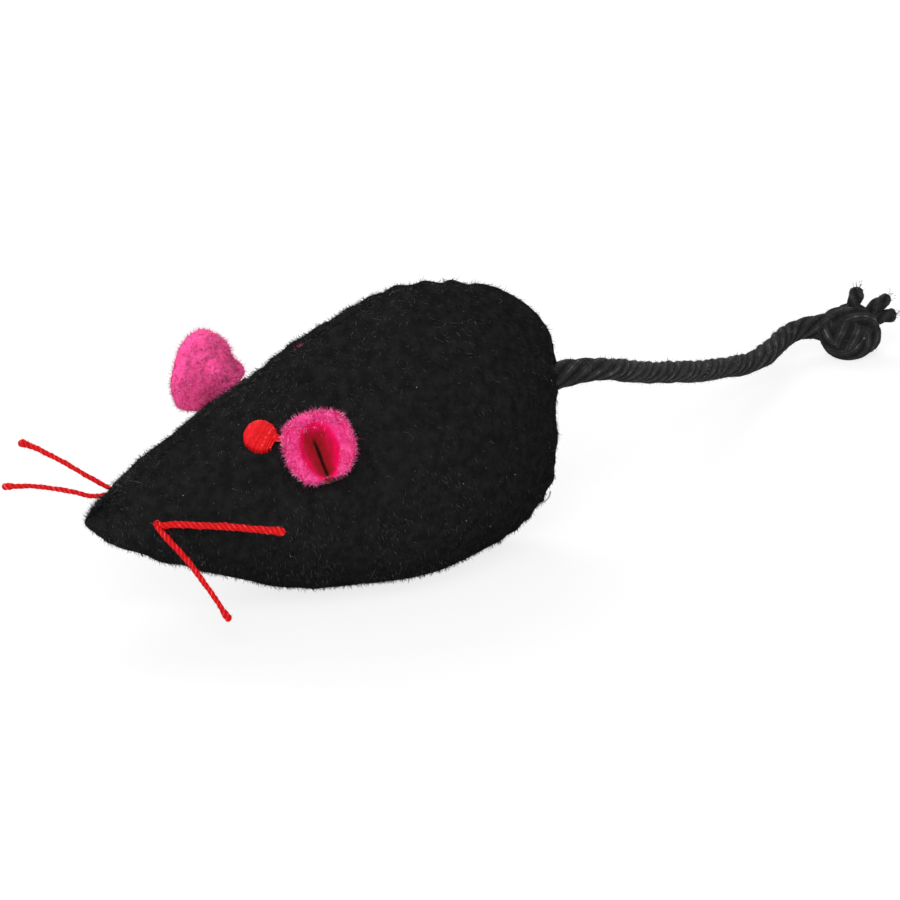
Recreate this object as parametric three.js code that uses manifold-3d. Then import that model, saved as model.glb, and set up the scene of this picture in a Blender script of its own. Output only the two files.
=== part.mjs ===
// Catnip mouse: a stuffed plush toy sewn from two side panels, with folded felt ears,
// embroidered eyes, thread whiskers and a cord tail that ends in a knot.
// Millimetres, +Z up. +X runs from the nose to the tail and -Y is the mouse's left side.
// The origin lies on the floor, under the middle of the body's length.

import * as THREE from 'three';
import { mergeVertices } from 'three/addons/utils/BufferGeometryUtils.js';
import Module from 'manifold-3d';

const wasm = await Module();
wasm.setup();

// Body: overall sizes and where its back, belly and sides are fullest
const BODY_LENGTH = 55;
const BODY_HEIGHT = 31;
const BODY_WIDTH = 25;
const NOSE_HEIGHT = 12.5;
const HUMP_FROM_REAR = 16.7;
const BELLY_FROM_REAR = 21.5;
const WIDEST_FROM_REAR = 21;
const REAR_SEAM_TOP = 19;
const REAR_SEAM_BOTTOM = 8;
const BELLY_FLAT_DEPTH = 0.5;
const RIDGE_POWER = 1.75;

// Body: lengths of the curve handles that shape the three outlines
const FOREHEAD_RUN = 3;
const FOREHEAD_RISE = 3.1;
const SHOULDER_RUN = 10.8;
const RUMP_RUN = 10.5;
const RUMP_DROP = 5.3;
const CHIN_RUN = 0.5;
const CHIN_DROP = 3.2;
const CHEST_RUN = 12;
const REAR_BELLY_RUN = 11.5;
const REAR_BELLY_RISE = 5.8;
const CHEEK_RUN = 3;
const CHEEK_SPREAD = 6.2;
const FLANK_RUN = 6.8;
const HAUNCH_RUN = 10.2;
const HAUNCH_SPREAD = 2.1;

// Panels and seams
const PANEL_THICKNESS = 1.4;
const SEAM_GAP = 0.3;
const SEAM_ALLOWANCE = 4;
const ALLOWANCE_THICKNESS = 1;
const SEAM_GROOVE = 0.7;
const SEAM_LIP_ANGLE = 5;
const RIDGE_LIP_ANGLE = 10;
const STITCH_INSET = 2.3;
const STITCH_LENGTH = 4;
const SEAM_THREAD_RADIUS = 0.3;
const SEAM_FROM_NOSE = 7.5;
const SEAM_FROM_TAIL = 2.8;

// Filling
const STUFFING_FROM_NOSE = 8;
const CATNIP_FROM_NOSE = 31;
const CATNIP_HEIGHT = 14;
const CATNIP_LENGTH = 16;
const CATNIP_WIDTH = 11;
const CATNIP_DEPTH = 13;

// Ears: rounded squares of felt, pinched into a fold at the root
const EAR_SQUARENESS = 2.6;
const EAR_THICKNESS = 1.2;
const EAR_FOLD_DEPTH = 2.2;
const EAR_FOLD_WIDTH = 1.3;
const EAR_FOLD_LENGTH = 5;
const EAR_CUP = 1.1;
const EAR_ROOT_RADIUS = 0.9;
const EAR_ROOT_LENGTH = 2.4;
const TACK_SPAN = 4.4;
const TACK_RADIUS = 0.25;
const TACK_TAIL = 0.9;

// How each ear is sewn on: its half width and place behind the nose, then in degrees its angle up the side,
// its turn towards the nose, its upward tilt and its lean towards the nose
const EAR_SET = {
  left: { side: -1, radius: 3.7, fromNose: 22, angle: 12, turn: 25, tilt: 17.5, lean: 14.5 },
  right: { side: 1, radius: 4.2, fromNose: 24.3, angle: 16.3, turn: 18.5, tilt: -4, lean: 50 },
};

// Eyes: satin-stitched dots
const EYE_RADIUS = 1.75;
const EYE_RISE = 0.85;
const EYE_STEM_RADIUS = 0.5;
const EYE_SET = {
  left: { side: -1, fromNose: 17.2, angle: 43 },
  right: { side: 1, fromNose: 18.5, angle: 20 },
};

// Whiskers: two threads that pass through the muzzle, each with an arm on either side
const WHISKER_FROM_NOSE = 5.7;
const WHISKER_HEIGHT = 12.5;
const WHISKER_RADIUS = 0.46;
const WHISKER_SPACING = 1.3;

// Tail: twisted cord
const TAIL_HEIGHT = 17.6;
const TAIL_RADIUS = 1.2;
const TAIL_FLARE_RADIUS = 1.5;
const TAIL_ROOT_LENGTH = 1.6;
const TAIL_ANCHOR_LENGTH = 9;
const KNOT_RADIUS = 3.1;
const KNOT_STRAND_RADIUS = 1.2;
const KNOT_FLAT_DEPTH = 0.2;
const STRAND_END_RADIUS = 0.6;

// Fits and mesh fineness
const CLEARANCE = 0.3;
const NEEDLE_CLEARANCE = 0.6;
const TIP = 0.3;
const RING_POINTS = 24;
const STATIONS = 18;
const CURVE_STEPS = 60;
const STITCH_STEPS = 6;
const THREAD_SIDES = 5;
const CORD_SIDES = 8;
const BEYOND = 200;

// The tail's route behind the rear seam: distance back, sideways to +Y, height above the floor
const TAIL_ROUTE = [
  [7.4, 1.1, 16.6], [10.6, 3.4, 14.9], [14.5, 6.2, 13.1], [19, 9.5, 11.1], [24, 13, 9], [29, 16.5, 7],
  [34, 20, 5.2], [38.5, 22.9, 3.9], [42, 25, 3.3], [45.5, 27, 3.1], [48.5, 28.7, 3.2], [51.1, 29.5, 3.4],
];
const KNOT_PLACE = [56.1, 28];
const STRAND_ENDS = [[0.6, -0.3, 5.1], [3.7, -2.1, 4], [4.4, -2.5, 1.9]];

// Each whisker arm: its end, measured from its root
const WHISKER_ARMS = {
  left_rear_whisker: { side: -1, level: 1, end: [10.6, -7, -0.6], bow: 0.5 },
  left_lower_whisker: { side: -1, level: -1, end: [4.6, -6, -8], bow: 0.3 },
  right_upper_whisker: { side: 1, level: 1, end: [-6.1, 8.2, 3.6], bow: 0.5 },
  right_front_whisker: { side: 1, level: -1, end: [-8, 8.2, 0.4], bow: 0.6 },
};

const NOSE_X = -BODY_LENGTH / 2;
const REAR_X = BODY_LENGTH / 2;
const BELLY_LOW = -BELLY_FLAT_DEPTH;

const plush = { color: 0x1b1b1d, roughness: 0.95, metalness: 0 };
const felt = { color: 0xe8328c, roughness: 0.9, metalness: 0 };
const redThread = { color: 0xd81a1c, roughness: 0.7, metalness: 0 };
const blackThread = { color: 0x151517, roughness: 0.8, metalness: 0 };
const cord = { color: 0x2c2c2e, roughness: 0.85, metalness: 0 };
const fibre = { color: 0xe9e6df, roughness: 1, metalness: 0 };
const herb = { color: 0x6d7044, roughness: 1, metalness: 0 };

const mouse = new THREE.Group();
mouse.name = 'catnip_mouse';

// Solids and meshes
function solidOf(geometry) {
  const bare = new THREE.BufferGeometry();
  bare.setAttribute('position', geometry.getAttribute('position').clone());
  if (geometry.index) bare.setIndex(geometry.index.clone());
  const merged = mergeVertices(bare, 1e-4);
  const corners = [];
  for (let i = 0; i < merged.index.count; i += 3) {
    const triangle = [0, 1, 2].map((k) => merged.index.getX(i + k));
    if (new Set(triangle).size === 3) corners.push(...triangle);
  }
  return new wasm.Manifold(new wasm.Mesh({
    numProp: 3,
    vertProperties: new Float32Array(merged.getAttribute('position').array),
    triVerts: new Uint32Array(corners),
  }));
}

function geometryOf(solid) {
  const mesh = solid.getMesh();
  const geometry = new THREE.BufferGeometry();
  geometry.setAttribute('position', new THREE.BufferAttribute(mesh.vertProperties, 3));
  geometry.setIndex(new THREE.BufferAttribute(mesh.triVerts, 1));
  geometry.computeVertexNormals();
  return geometry;
}

function addPart(name, solid, finish, place) {
  const mesh = new THREE.Mesh(geometryOf(solid), new THREE.MeshStandardMaterial(finish));
  mesh.name = name;
  if (place) mesh.applyMatrix4(place);
  mouse.add(mesh);
}

function box(low, high) {
  const size = high.map((value, k) => value - low[k]);
  const centre = high.map((value, k) => (value + low[k]) / 2);
  return solidOf(new THREE.BoxGeometry(...size).translate(...centre));
}

function roundSection(radius, sides) {
  const shape = new THREE.Shape();
  for (let k = 0; k < sides; k += 1) {
    const turn = (2 * Math.PI * k) / sides;
    const point = [radius * Math.cos(turn), radius * Math.sin(turn)];
    if (k === 0) shape.moveTo(...point);
    else shape.lineTo(...point);
  }
  return shape;
}

function tube(points, radius, sides, steps) {
  const path = new THREE.CatmullRomCurve3(points);
  const shape = roundSection(radius, sides);
  return solidOf(new THREE.ExtrudeGeometry(shape, { steps, extrudePath: path, curveSegments: 1 }));
}

function rod(from, to, radius, sides = CORD_SIDES) {
  return tube([from, to], radius, sides, 1);
}

// Body outlines: each runs from the nose to a crest and on to the rear seam
function outline({ nose, noseRun, noseRise, crestFromRear, crest, before, after, rear, rearLead }) {
  const crestX = BODY_LENGTH - crestFromRear;
  const path = new THREE.Path();
  path.moveTo(0, nose);
  path.bezierCurveTo(noseRun, nose + noseRise, crestX - before, crest, crestX, crest);
  path.bezierCurveTo(crestX + after, crest, BODY_LENGTH, rear + rearLead, BODY_LENGTH, rear);
  return path.getPoints(CURVE_STEPS);
}

const backLine = outline({
  nose: NOSE_HEIGHT, noseRun: FOREHEAD_RUN, noseRise: FOREHEAD_RISE,
  crestFromRear: HUMP_FROM_REAR, crest: BODY_HEIGHT, before: SHOULDER_RUN, after: RUMP_RUN,
  rear: REAR_SEAM_TOP, rearLead: RUMP_DROP,
});
const bellyLine = outline({
  nose: NOSE_HEIGHT, noseRun: CHIN_RUN, noseRise: -CHIN_DROP,
  crestFromRear: BELLY_FROM_REAR, crest: BELLY_LOW, before: CHEST_RUN, after: REAR_BELLY_RUN,
  rear: REAR_SEAM_BOTTOM, rearLead: -REAR_BELLY_RISE,
});
const sideLine = outline({
  nose: 0, noseRun: CHEEK_RUN, noseRise: CHEEK_SPREAD,
  crestFromRear: WIDEST_FROM_REAR, crest: BODY_WIDTH / 2, before: FLANK_RUN, after: HAUNCH_RUN,
  rear: 0, rearLead: HAUNCH_SPREAD,
});

function valueAt(line, fromNose) {
  const next = line.findIndex((point) => point.x >= fromNose);
  if (next <= 0) return line[next === 0 ? 0 : line.length - 1].y;
  const a = line[next - 1];
  const b = line[next];
  return THREE.MathUtils.mapLinear(fromNose, a.x, b.x, a.y, b.y);
}

function section(fromNose) {
  const top = valueAt(backLine, fromNose);
  const bottom = valueAt(bellyLine, fromNose);
  return { middle: (top + bottom) / 2, rise: (top - bottom) / 2, half: valueAt(sideLine, fromNose) };
}

// How far out to its side a section reaches at a height, as shares of its half width and half height:
// its lower part is oval and its upper part narrows to a ridge at the back seam
function spread(high) {
  return Math.sqrt(1 - high ** 2) ** (high > 0 ? RIDGE_POWER : 1);
}

// A point on the body: angle 0 is the left side, 90 the back, 180 the right side
function bodyPoint(fromNose, angle, inset = 0) {
  const { middle, rise, half } = section(fromNose);
  const turn = THREE.MathUtils.degToRad(angle);
  const high = THREE.MathUtils.clamp(Math.sin(turn), -1, 1);
  const y = -Math.sign(Math.cos(turn)) * spread(high) * (half - inset);
  const z = middle + high * (rise - inset);
  return new THREE.Vector3(NOSE_X + fromNose, y, z);
}

function bodyNormal(fromNose, angle) {
  const step = 0.5;
  const along = bodyPoint(fromNose + step, angle).sub(bodyPoint(fromNose - step, angle));
  const around = bodyPoint(fromNose, angle + step).sub(bodyPoint(fromNose, angle - step));
  return along.cross(around).normalize();
}

// Where each section has its points: evenly round it, with a lip on either side of a seam
function ringAngles() {
  const angles = [];
  for (let j = 0; j < RING_POINTS; j += 1) angles.push((360 * j) / RING_POINTS);
  for (const [seam, lip] of [[90, RIDGE_LIP_ANGLE], [270, SEAM_LIP_ANGLE]]) angles.push(seam - lip, seam + lip);
  return angles.sort((a, b) => a - b);
}

// The body as a loft of oval sections, drawn in all round by the inset and along the seams by the groove
function bodyLoft(inset, groove = 0) {
  const probe = 0.05;
  const wide = [];
  for (let u = 0; u <= BODY_LENGTH; u += probe) {
    const { rise, half } = section(u);
    if (Math.min(rise, half) - inset >= TIP) wide.push(u);
  }
  const first = wide[0];
  const last = wide[wide.length - 1];
  const angles = ringAngles();
  const points = [];
  for (let k = 0; k <= STATIONS; k += 1) {
    const share = (1 - Math.cos((Math.PI * k) / STATIONS)) / 2;
    const fromNose = THREE.MathUtils.lerp(first, last, share);
    const dip = Math.min(groove, section(fromNose).rise / 3);
    for (const angle of angles) {
      const onSeam = angle % 180 === 90;
      points.push(bodyPoint(fromNose, angle, onSeam ? inset + dip : inset));
    }
  }
  const corners = [];
  const noseCap = points.length;
  const rearCap = noseCap + 1;
  points.push(new THREE.Vector3(NOSE_X + first, 0, section(first).middle));
  points.push(new THREE.Vector3(NOSE_X + last, 0, section(last).middle));
  const around = angles.length;
  for (let j = 0; j < around; j += 1) {
    const next = (j + 1) % around;
    corners.push(noseCap, j, next);
    const end = STATIONS * around;
    corners.push(rearCap, end + next, end + j);
    for (let k = 0; k < STATIONS; k += 1) {
      const a = k * around;
      const b = a + around;
      corners.push(a + j, b + j, b + next, a + j, b + next, a + next);
    }
  }
  return solidOf(new THREE.BufferGeometry().setFromPoints(points).setIndex(corners));
}

// Seams: the two lines where the panels meet, from the nose to just above and below the tail
const backEdge = backLine.filter(({ x, y }) => x < BODY_LENGTH / 2 || y > TAIL_HEIGHT + SEAM_FROM_TAIL);
const bellyEdge = [...bellyLine, new THREE.Vector2(BODY_LENGTH, TAIL_HEIGHT - SEAM_FROM_TAIL)];

function drawnIn(edge, inset, inward, fromNose) {
  const line = [];
  for (let k = 1; k < edge.length - 1; k += 1) {
    const along = edge[k + 1].clone().sub(edge[k - 1]).normalize();
    const x = edge[k].x + inward * along.y * inset;
    const z = edge[k].y - inward * along.x * inset;
    if (x >= fromNose) line.push(new THREE.Vector3(NOSE_X + x, 0, z));
  }
  return line;
}

// The points of a running stitch, two to a stitch, which lies on one allowance and then the other
function stitchPoints(edge, inward) {
  const seam = drawnIn(edge, PANEL_THICKNESS + STITCH_INSET, inward, SEAM_FROM_NOSE);
  const guide = new THREE.CatmullRomCurve3(seam);
  const count = Math.round(guide.getLength() / STITCH_LENGTH);
  const reach = SEAM_GAP / 2 + ALLOWANCE_THICKNESS + SEAM_THREAD_RADIUS + CLEARANCE;
  const entry = 0.18;
  const points = [];
  for (let k = 0; k < count; k += 1) {
    const side = k % 2 === 0 ? reach : -reach;
    for (const share of [entry, 1 - entry]) {
      points.push(guide.getPointAt((k + share) / count).setY(side));
    }
  }
  return points;
}

function seamThread(edge, inward) {
  const points = stitchPoints(edge, inward);
  return tube(points, SEAM_THREAD_RADIUS, THREAD_SIDES, (points.length / 2) * STITCH_STEPS);
}

function needleHoles(edge, inward) {
  const points = stitchPoints(edge, inward);
  const punched = [];
  for (let k = 1; k + 1 < points.length; k += 2) {
    punched.push(rod(points[k], points[k + 1], SEAM_THREAD_RADIUS + NEEDLE_CLEARANCE, THREAD_SIDES));
  }
  return punched;
}

// Ear frame: x along the fold's hinge, y up the ear, z the way the ear faces
function earFrame({ side, ...set }) {
  const angle = side < 0 ? set.angle : 180 - set.angle;
  const normal = bodyNormal(set.fromNose, angle);
  const turn = THREE.MathUtils.degToRad(set.turn);
  const tilt = THREE.MathUtils.degToRad(set.tilt);
  const facing = new THREE.Vector3(
    -Math.sin(turn) * Math.cos(tilt), side * Math.cos(turn) * Math.cos(tilt), Math.sin(tilt));
  const upright = new THREE.Vector3(0, 0, 1).projectOnPlane(facing).normalize();
  upright.applyAxisAngle(facing, -side * THREE.MathUtils.degToRad(set.lean));
  const across = upright.clone().cross(facing);
  const slant = Math.abs(across.dot(normal)) * (EAR_ROOT_LENGTH / 2);
  const lift = EAR_ROOT_RADIUS + CLEARANCE + slant;
  const pivot = bodyPoint(set.fromNose, angle).addScaledVector(normal, lift);
  const place = new THREE.Matrix4().makeBasis(across, upright, facing).setPosition(pivot);
  return { place, pivot, across, normal, lift };
}

// Ear: a felt piece whose lower middle is pressed back into a fold that ends at the root
function earSolid({ radius }) {
  const rings = [0, 0.25, 0.5, 0.72, 0.9, 1];
  const segments = 28;
  const sheet = (x, y) => {
    const off = (x * x + (y - radius) ** 2) / radius ** 2;
    const open = 1 - THREE.MathUtils.smoothstep(y, 0, EAR_FOLD_LENGTH);
    const fold = Math.exp(-((x / EAR_FOLD_WIDTH) ** 2)) * open;
    return EAR_FOLD_DEPTH * (1 - fold) + EAR_CUP * (off - 1);
  };
  const power = EAR_SQUARENESS;
  const square = (sine, cosine) => (Math.abs(sine) ** power + Math.abs(cosine) ** power) ** (-1 / power);
  const points = [];
  const index = {};
  const corner = (face, ring, j) => {
    const onRim = ring === rings.length - 1;
    const turn = ring === 0 ? 0 : j % segments;
    const key = `${onRim ? 0 : face} ${ring} ${turn}`;
    if (!(key in index)) {
      const angle = (2 * Math.PI * turn) / segments;
      const [sine, cosine] = [Math.sin(angle), Math.cos(angle)];
      const reach = radius * rings[ring] * square(sine, cosine);
      const x = reach * sine;
      const y = radius - reach * cosine;
      const lift = onRim ? 0 : (face * EAR_THICKNESS) / 2;
      index[key] = points.push(new THREE.Vector3(x, y, sheet(x, y) + lift)) - 1;
    }
    return index[key];
  };
  const corners = [];
  for (const face of [1, -1]) {
    for (let ring = 1; ring < rings.length; ring += 1) {
      for (let j = 0; j < segments; j += 1) {
        const [near, far] = face > 0 ? [j, j + 1] : [j + 1, j];
        const a = corner(face, ring - 1, near);
        const b = corner(face, ring, near);
        const c = corner(face, ring, far);
        const d = corner(face, ring - 1, far);
        corners.push(a, b, c);
        if (ring > 1) corners.push(a, c, d);
      }
    }
  }
  const disc = solidOf(new THREE.BufferGeometry().setFromPoints(points).setIndex(corners));
  const halfRoot = new THREE.Vector3(EAR_ROOT_LENGTH / 2, 0, 0);
  const root = rod(halfRoot.clone().negate(), halfRoot, EAR_ROOT_RADIUS, 12);
  const past = new THREE.Vector3(radius, 0, 0);
  const eye = rod(past.clone().negate(), past, TACK_RADIUS + CLEARANCE);
  return disc.add(root).subtract(eye);
}

// Tack: a stitch that comes out of the panel, runs through the ear's root and goes back in
function earTack({ pivot, across, normal, lift }, radius) {
  const half = TACK_SPAN / 2;
  const depth = lift + PANEL_THICKNESS + TACK_TAIL;
  const shoulder = 0.6;
  const at = (x, down) => pivot.clone().addScaledVector(across, x).addScaledVector(normal, -down);
  const straight = EAR_ROOT_LENGTH / 2 + CLEARANCE;
  const points = [
    at(-half, depth), at(-half, shoulder), at(-straight, 0), at(-straight / 2, 0),
    at(straight / 2, 0), at(straight, 0), at(half, shoulder), at(half, depth),
  ];
  return tube(points, radius, THREAD_SIDES, 14);
}

// Eye: a low dome of stitches with a stem through the panel
function eyeFrame({ side, ...set }) {
  const angle = side < 0 ? set.angle : 180 - set.angle;
  const normal = bodyNormal(set.fromNose, angle);
  const seat = bodyPoint(set.fromNose, angle).addScaledVector(normal, CLEARANCE);
  const turn = new THREE.Quaternion().setFromUnitVectors(new THREE.Vector3(0, 0, 1), normal);
  return new THREE.Matrix4().compose(seat, turn, new THREE.Vector3(1, 1, 1));
}

function eyeSolid() {
  const stem = PANEL_THICKNESS;
  const profile = [
    [0, -stem], [EYE_STEM_RADIUS, -stem], [EYE_STEM_RADIUS, 0], [EYE_RADIUS, 0],
    [EYE_RADIUS * 0.97, EYE_RISE * 0.3], [EYE_RADIUS * 0.7, EYE_RISE * 0.75], [0, EYE_RISE],
  ];
  const points = profile.map(([radius, z]) => new THREE.Vector2(radius, z));
  return solidOf(new THREE.LatheGeometry(points, 20).rotateX(Math.PI / 2));
}

function eyeHole(place) {
  const reach = new THREE.Vector3(0, 0, PANEL_THICKNESS * 2);
  const ends = [reach.clone().negate(), reach].map((end) => end.applyMatrix4(place));
  return rod(...ends, EYE_STEM_RADIUS + CLEARANCE);
}

// Whiskers
function whiskerRoot(side, level) {
  const { middle, rise, half } = section(WHISKER_FROM_NOSE);
  const z = WHISKER_HEIGHT + (level * WHISKER_SPACING) / 2;
  const y = side * half * spread((z - middle) / rise);
  return new THREE.Vector3(NOSE_X + WHISKER_FROM_NOSE, y, z);
}

function whiskerArm({ side, level, end, bow }) {
  const root = whiskerRoot(side, level);
  const angle = side < 0 ? 0 : 180;
  const lift = WHISKER_RADIUS + CLEARANCE;
  root.addScaledVector(bodyNormal(WHISKER_FROM_NOSE, angle), lift);
  const reach = new THREE.Vector3(...end);
  const points = [0, 0.35, 0.7, 1].map((share) => {
    const rise = bow * 4 * share * (1 - share);
    return reach.clone().multiplyScalar(share).add(new THREE.Vector3(0, 0, rise));
  });
  return { solid: tube(points, WHISKER_RADIUS, CORD_SIDES, 6), root };
}

// Tail
const tailExit = new THREE.Vector3(REAR_X, 0, TAIL_HEIGHT);
const tailPivot = tailExit.clone().setX(REAR_X + TAIL_FLARE_RADIUS);
const rootEnd = tailPivot.x + TAIL_ROOT_LENGTH;
const cordStart = new THREE.Vector3(rootEnd + CLEARANCE + TAIL_RADIUS, 0, TAIL_HEIGHT);
const knotCentre = new THREE.Vector3(
  REAR_X + KNOT_PLACE[0], KNOT_PLACE[1], KNOT_RADIUS - KNOT_FLAT_DEPTH);

function ball(centre, radius) {
  return solidOf(new THREE.SphereGeometry(radius, 12, 8).translate(...centre.toArray()));
}

function tailRoot() {
  const profile = [[0, 0], [TAIL_FLARE_RADIUS, 0], [TAIL_RADIUS, TAIL_ROOT_LENGTH], [0, TAIL_ROOT_LENGTH]];
  const points = profile.map(([radius, along]) => new THREE.Vector2(radius, along));
  const flare = new THREE.LatheGeometry(points, 12).rotateZ(-Math.PI / 2);
  return solidOf(flare.translate(...tailPivot.toArray())).add(ball(tailPivot, TAIL_FLARE_RADIUS));
}

function tailCord() {
  const route = TAIL_ROUTE.map(([back, y, z]) => new THREE.Vector3(REAR_X + back, y, z));
  const near = knotCentre.clone().sub(route[route.length - 1]);
  const meet = knotCentre.clone().addScaledVector(near.normalize(), -KNOT_RADIUS - CLEARANCE);
  const seated = cordStart.clone().setX(cordStart.x - TAIL_RADIUS / 2);
  const points = [seated, cordStart, ...route, meet];
  return tube(points, TAIL_RADIUS, CORD_SIDES, 20).add(ball(cordStart, TAIL_RADIUS));
}

// Knot: the cord's overhand loop drawn tight, with the ends of its strands standing out
function knotPoint(turn) {
  const spread = (KNOT_RADIUS - KNOT_STRAND_RADIUS) / 3;
  const depth = 0.95;
  const radius = spread * (2 + Math.cos(3 * turn));
  return new THREE.Vector3(radius * Math.cos(2 * turn), depth * Math.sin(3 * turn), radius * Math.sin(2 * turn));
}

function tailKnot() {
  const lobes = 3;
  const pieces = [];
  for (let lobe = 0; lobe < lobes; lobe += 1) {
    const points = [];
    for (let k = 0; k <= 8; k += 1) {
      points.push(knotPoint((2 * Math.PI * (lobe + k / 8)) / lobes));
    }
    pieces.push(tube(points, KNOT_STRAND_RADIUS, THREAD_SIDES, 8));
  }
  for (const end of STRAND_ENDS) {
    pieces.push(rod(new THREE.Vector3(), new THREE.Vector3(...end), STRAND_END_RADIUS, THREAD_SIDES));
  }
  const core = ball(new THREE.Vector3(), KNOT_RADIUS - KNOT_STRAND_RADIUS);
  const knot = pieces.reduce((sum, piece) => sum.add(piece), core);
  const floor = -knotCentre.z;
  return knot.intersect(box([-BEYOND, -BEYOND, floor], [BEYOND, BEYOND, BEYOND]));
}

// Assembly
const aboveFloor = box([-BEYOND, -BEYOND, 0], [BEYOND, BEYOND, BEYOND]);
const skin = bodyLoft(0, SEAM_GROOVE).intersect(aboveFloor);
const hollow = bodyLoft(PANEL_THICKNESS);
const allowanceEdge = bodyLoft(PANEL_THICKNESS + SEAM_ALLOWANCE);
const allowanceBand = bodyLoft(PANEL_THICKNESS / 2).subtract(allowanceEdge);
const anchorEnds = [TAIL_ANCHOR_LENGTH, CLEARANCE].map((inside) => tailExit.clone().setX(REAR_X - inside));
const tailHole = rod(tailExit.clone().setX(NOSE_X + CATNIP_FROM_NOSE), tailExit.clone().setX(BEYOND),
  TAIL_RADIUS + CLEARANCE);
const seams = { back_seam_thread: [backEdge, 1], belly_seam_thread: [bellyEdge, -1] };
const levels = { upper: 1, lower: -1 };

const holes = [tailHole];
for (const [edge, inward] of Object.values(seams)) {
  holes.push(...needleHoles(edge, inward));
}
for (const set of Object.values(EAR_SET)) {
  holes.push(earTack(earFrame(set), TACK_RADIUS + CLEARANCE));
}
for (const set of Object.values(EYE_SET)) {
  holes.push(eyeHole(eyeFrame(set)));
}
for (const level of Object.values(levels)) {
  const across = new THREE.Vector3(0, BODY_WIDTH, 0);
  const centre = whiskerRoot(1, level).setY(0);
  holes.push(rod(centre.clone().sub(across), centre.clone().add(across), WHISKER_RADIUS + CLEARANCE));
}
const cuts = holes.reduce((sum, hole) => sum.add(hole));

function sidePanel(side) {
  const inner = (side * SEAM_GAP) / 2;
  const fold = inner + side * ALLOWANCE_THICKNESS;
  const slab = (a, b) => box(
    [-BEYOND, Math.min(a, b), -BEYOND], [BEYOND, Math.max(a, b), BEYOND]);
  const shell = skin.subtract(hollow).intersect(slab(inner, side * BEYOND));
  const allowance = allowanceBand.intersect(slab(inner, fold)).intersect(aboveFloor);
  return shell.add(allowance).subtract(cuts);
}

function stuffing() {
  const reach = SEAM_GAP / 2 + ALLOWANCE_THICKNESS + 2 * SEAM_THREAD_RADIUS + 3 * CLEARANCE;
  const margin = bodyLoft(PANEL_THICKNESS + SEAM_ALLOWANCE + CLEARANCE);
  const channel = box([-BEYOND, -reach, -BEYOND], [BEYOND, reach, BEYOND]).subtract(margin);
  const behindNose = box([NOSE_X + STUFFING_FROM_NOSE, -BEYOND, -BEYOND], [BEYOND, BEYOND, BEYOND]);
  const bulk = bodyLoft(PANEL_THICKNESS + CLEARANCE).intersect(behindNose);
  return bulk.subtract(channel).subtract(cuts).subtract(catnip(CLEARANCE));
}

function catnip(grow) {
  const lump = new THREE.SphereGeometry(1, 16, 10);
  lump.scale(CATNIP_LENGTH / 2 + grow, CATNIP_WIDTH / 2 + grow, CATNIP_DEPTH / 2 + grow);
  return solidOf(lump.translate(NOSE_X + CATNIP_FROM_NOSE, 0, CATNIP_HEIGHT));
}

addPart('fibre_stuffing', stuffing(), fibre);
addPart('catnip_filling', catnip(0), herb);
for (const [name, [edge, inward]] of Object.entries(seams)) {
  addPart(name, seamThread(edge, inward), blackThread);
}
for (const [name, set] of Object.entries(EAR_SET)) {
  const frame = earFrame(set);
  addPart(`${name}_side_panel`, sidePanel(set.side), plush);
  addPart(`${name}_ear`, earSolid(set), felt, frame.place);
  addPart(`${name}_ear_tack`, earTack(frame, TACK_RADIUS), blackThread);
  addPart(`${name}_eye`, eyeSolid(), redThread, eyeFrame(EYE_SET[name]));
}
for (const [name, level] of Object.entries(levels)) {
  const core = rod(whiskerRoot(-1, level), whiskerRoot(1, level), WHISKER_RADIUS);
  addPart(`${name}_whisker_thread`, core, redThread);
}
for (const [name, arm] of Object.entries(WHISKER_ARMS)) {
  const { solid, root } = whiskerArm(arm);
  addPart(name, solid, redThread, new THREE.Matrix4().setPosition(root));
}
addPart('tail_anchor', rod(...anchorEnds, TAIL_RADIUS), cord);
addPart('tail_root', tailRoot(), cord);
addPart('tail_cord', tailCord(), cord);
addPart('tail_knot', tailKnot(), cord, new THREE.Matrix4().setPosition(knotCentre));

export default mouse;
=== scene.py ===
# Catnip mouse, dressed: two plush panels with their pile, felt ears, satin-stitched eyes, twisted
# whiskers and a twisted cord tail that ends in a knot.
# Shapes are worked out in millimetres and become metres where a mesh is made.
# +X runs from the nose to the tail, -Y is the mouse's left side and the floor is z = 0.

import math

import bpy
import numpy as np
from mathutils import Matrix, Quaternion, Vector


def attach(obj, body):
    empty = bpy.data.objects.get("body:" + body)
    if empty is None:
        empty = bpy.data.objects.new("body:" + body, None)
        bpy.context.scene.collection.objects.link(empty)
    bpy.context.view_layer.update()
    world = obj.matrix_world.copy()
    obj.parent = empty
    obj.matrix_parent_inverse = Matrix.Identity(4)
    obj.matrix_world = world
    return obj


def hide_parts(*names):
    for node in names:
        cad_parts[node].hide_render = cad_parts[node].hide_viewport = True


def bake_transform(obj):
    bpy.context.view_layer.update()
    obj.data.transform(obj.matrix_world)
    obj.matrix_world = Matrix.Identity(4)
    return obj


MM = 0.001
SEED = 11
draw = np.random.default_rng(SEED)

# Camera, at the photo's angle
CAMERA_TURN = -30
CAMERA_RISE = 22
CAMERA_DISTANCE = 600
CAMERA_AIM = (14.8, 0.15, 11.74)
CAMERA_LENS = 231.4
CAMERA_SENSOR = 36
CAMERA_CLIP = 10

# Light and floor; each lamp has its place, its aim and its size in metres, and its power
WHITE = (1, 1, 1, 1)
WORLD_STRENGTH = 0.5
FLOOR_COLOUR = (0.86, 0.86, 0.86, 1)
FLOOR_HALF = 3000
FLOOR_WHITENESS = 0.8
LAMPS = [
    ("key", (-0.42, -0.5, 0.55), (0, 0, 0.012), 0.45, 5.8),
    ("fill", (0.45, -0.55, 0.3), (0.02, 0, 0.012), 0.5, 0.8),
    ("rim", (0.1, 0.5, 0.6), (0, 0, 0.012), 0.5, 3.2),
]

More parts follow.
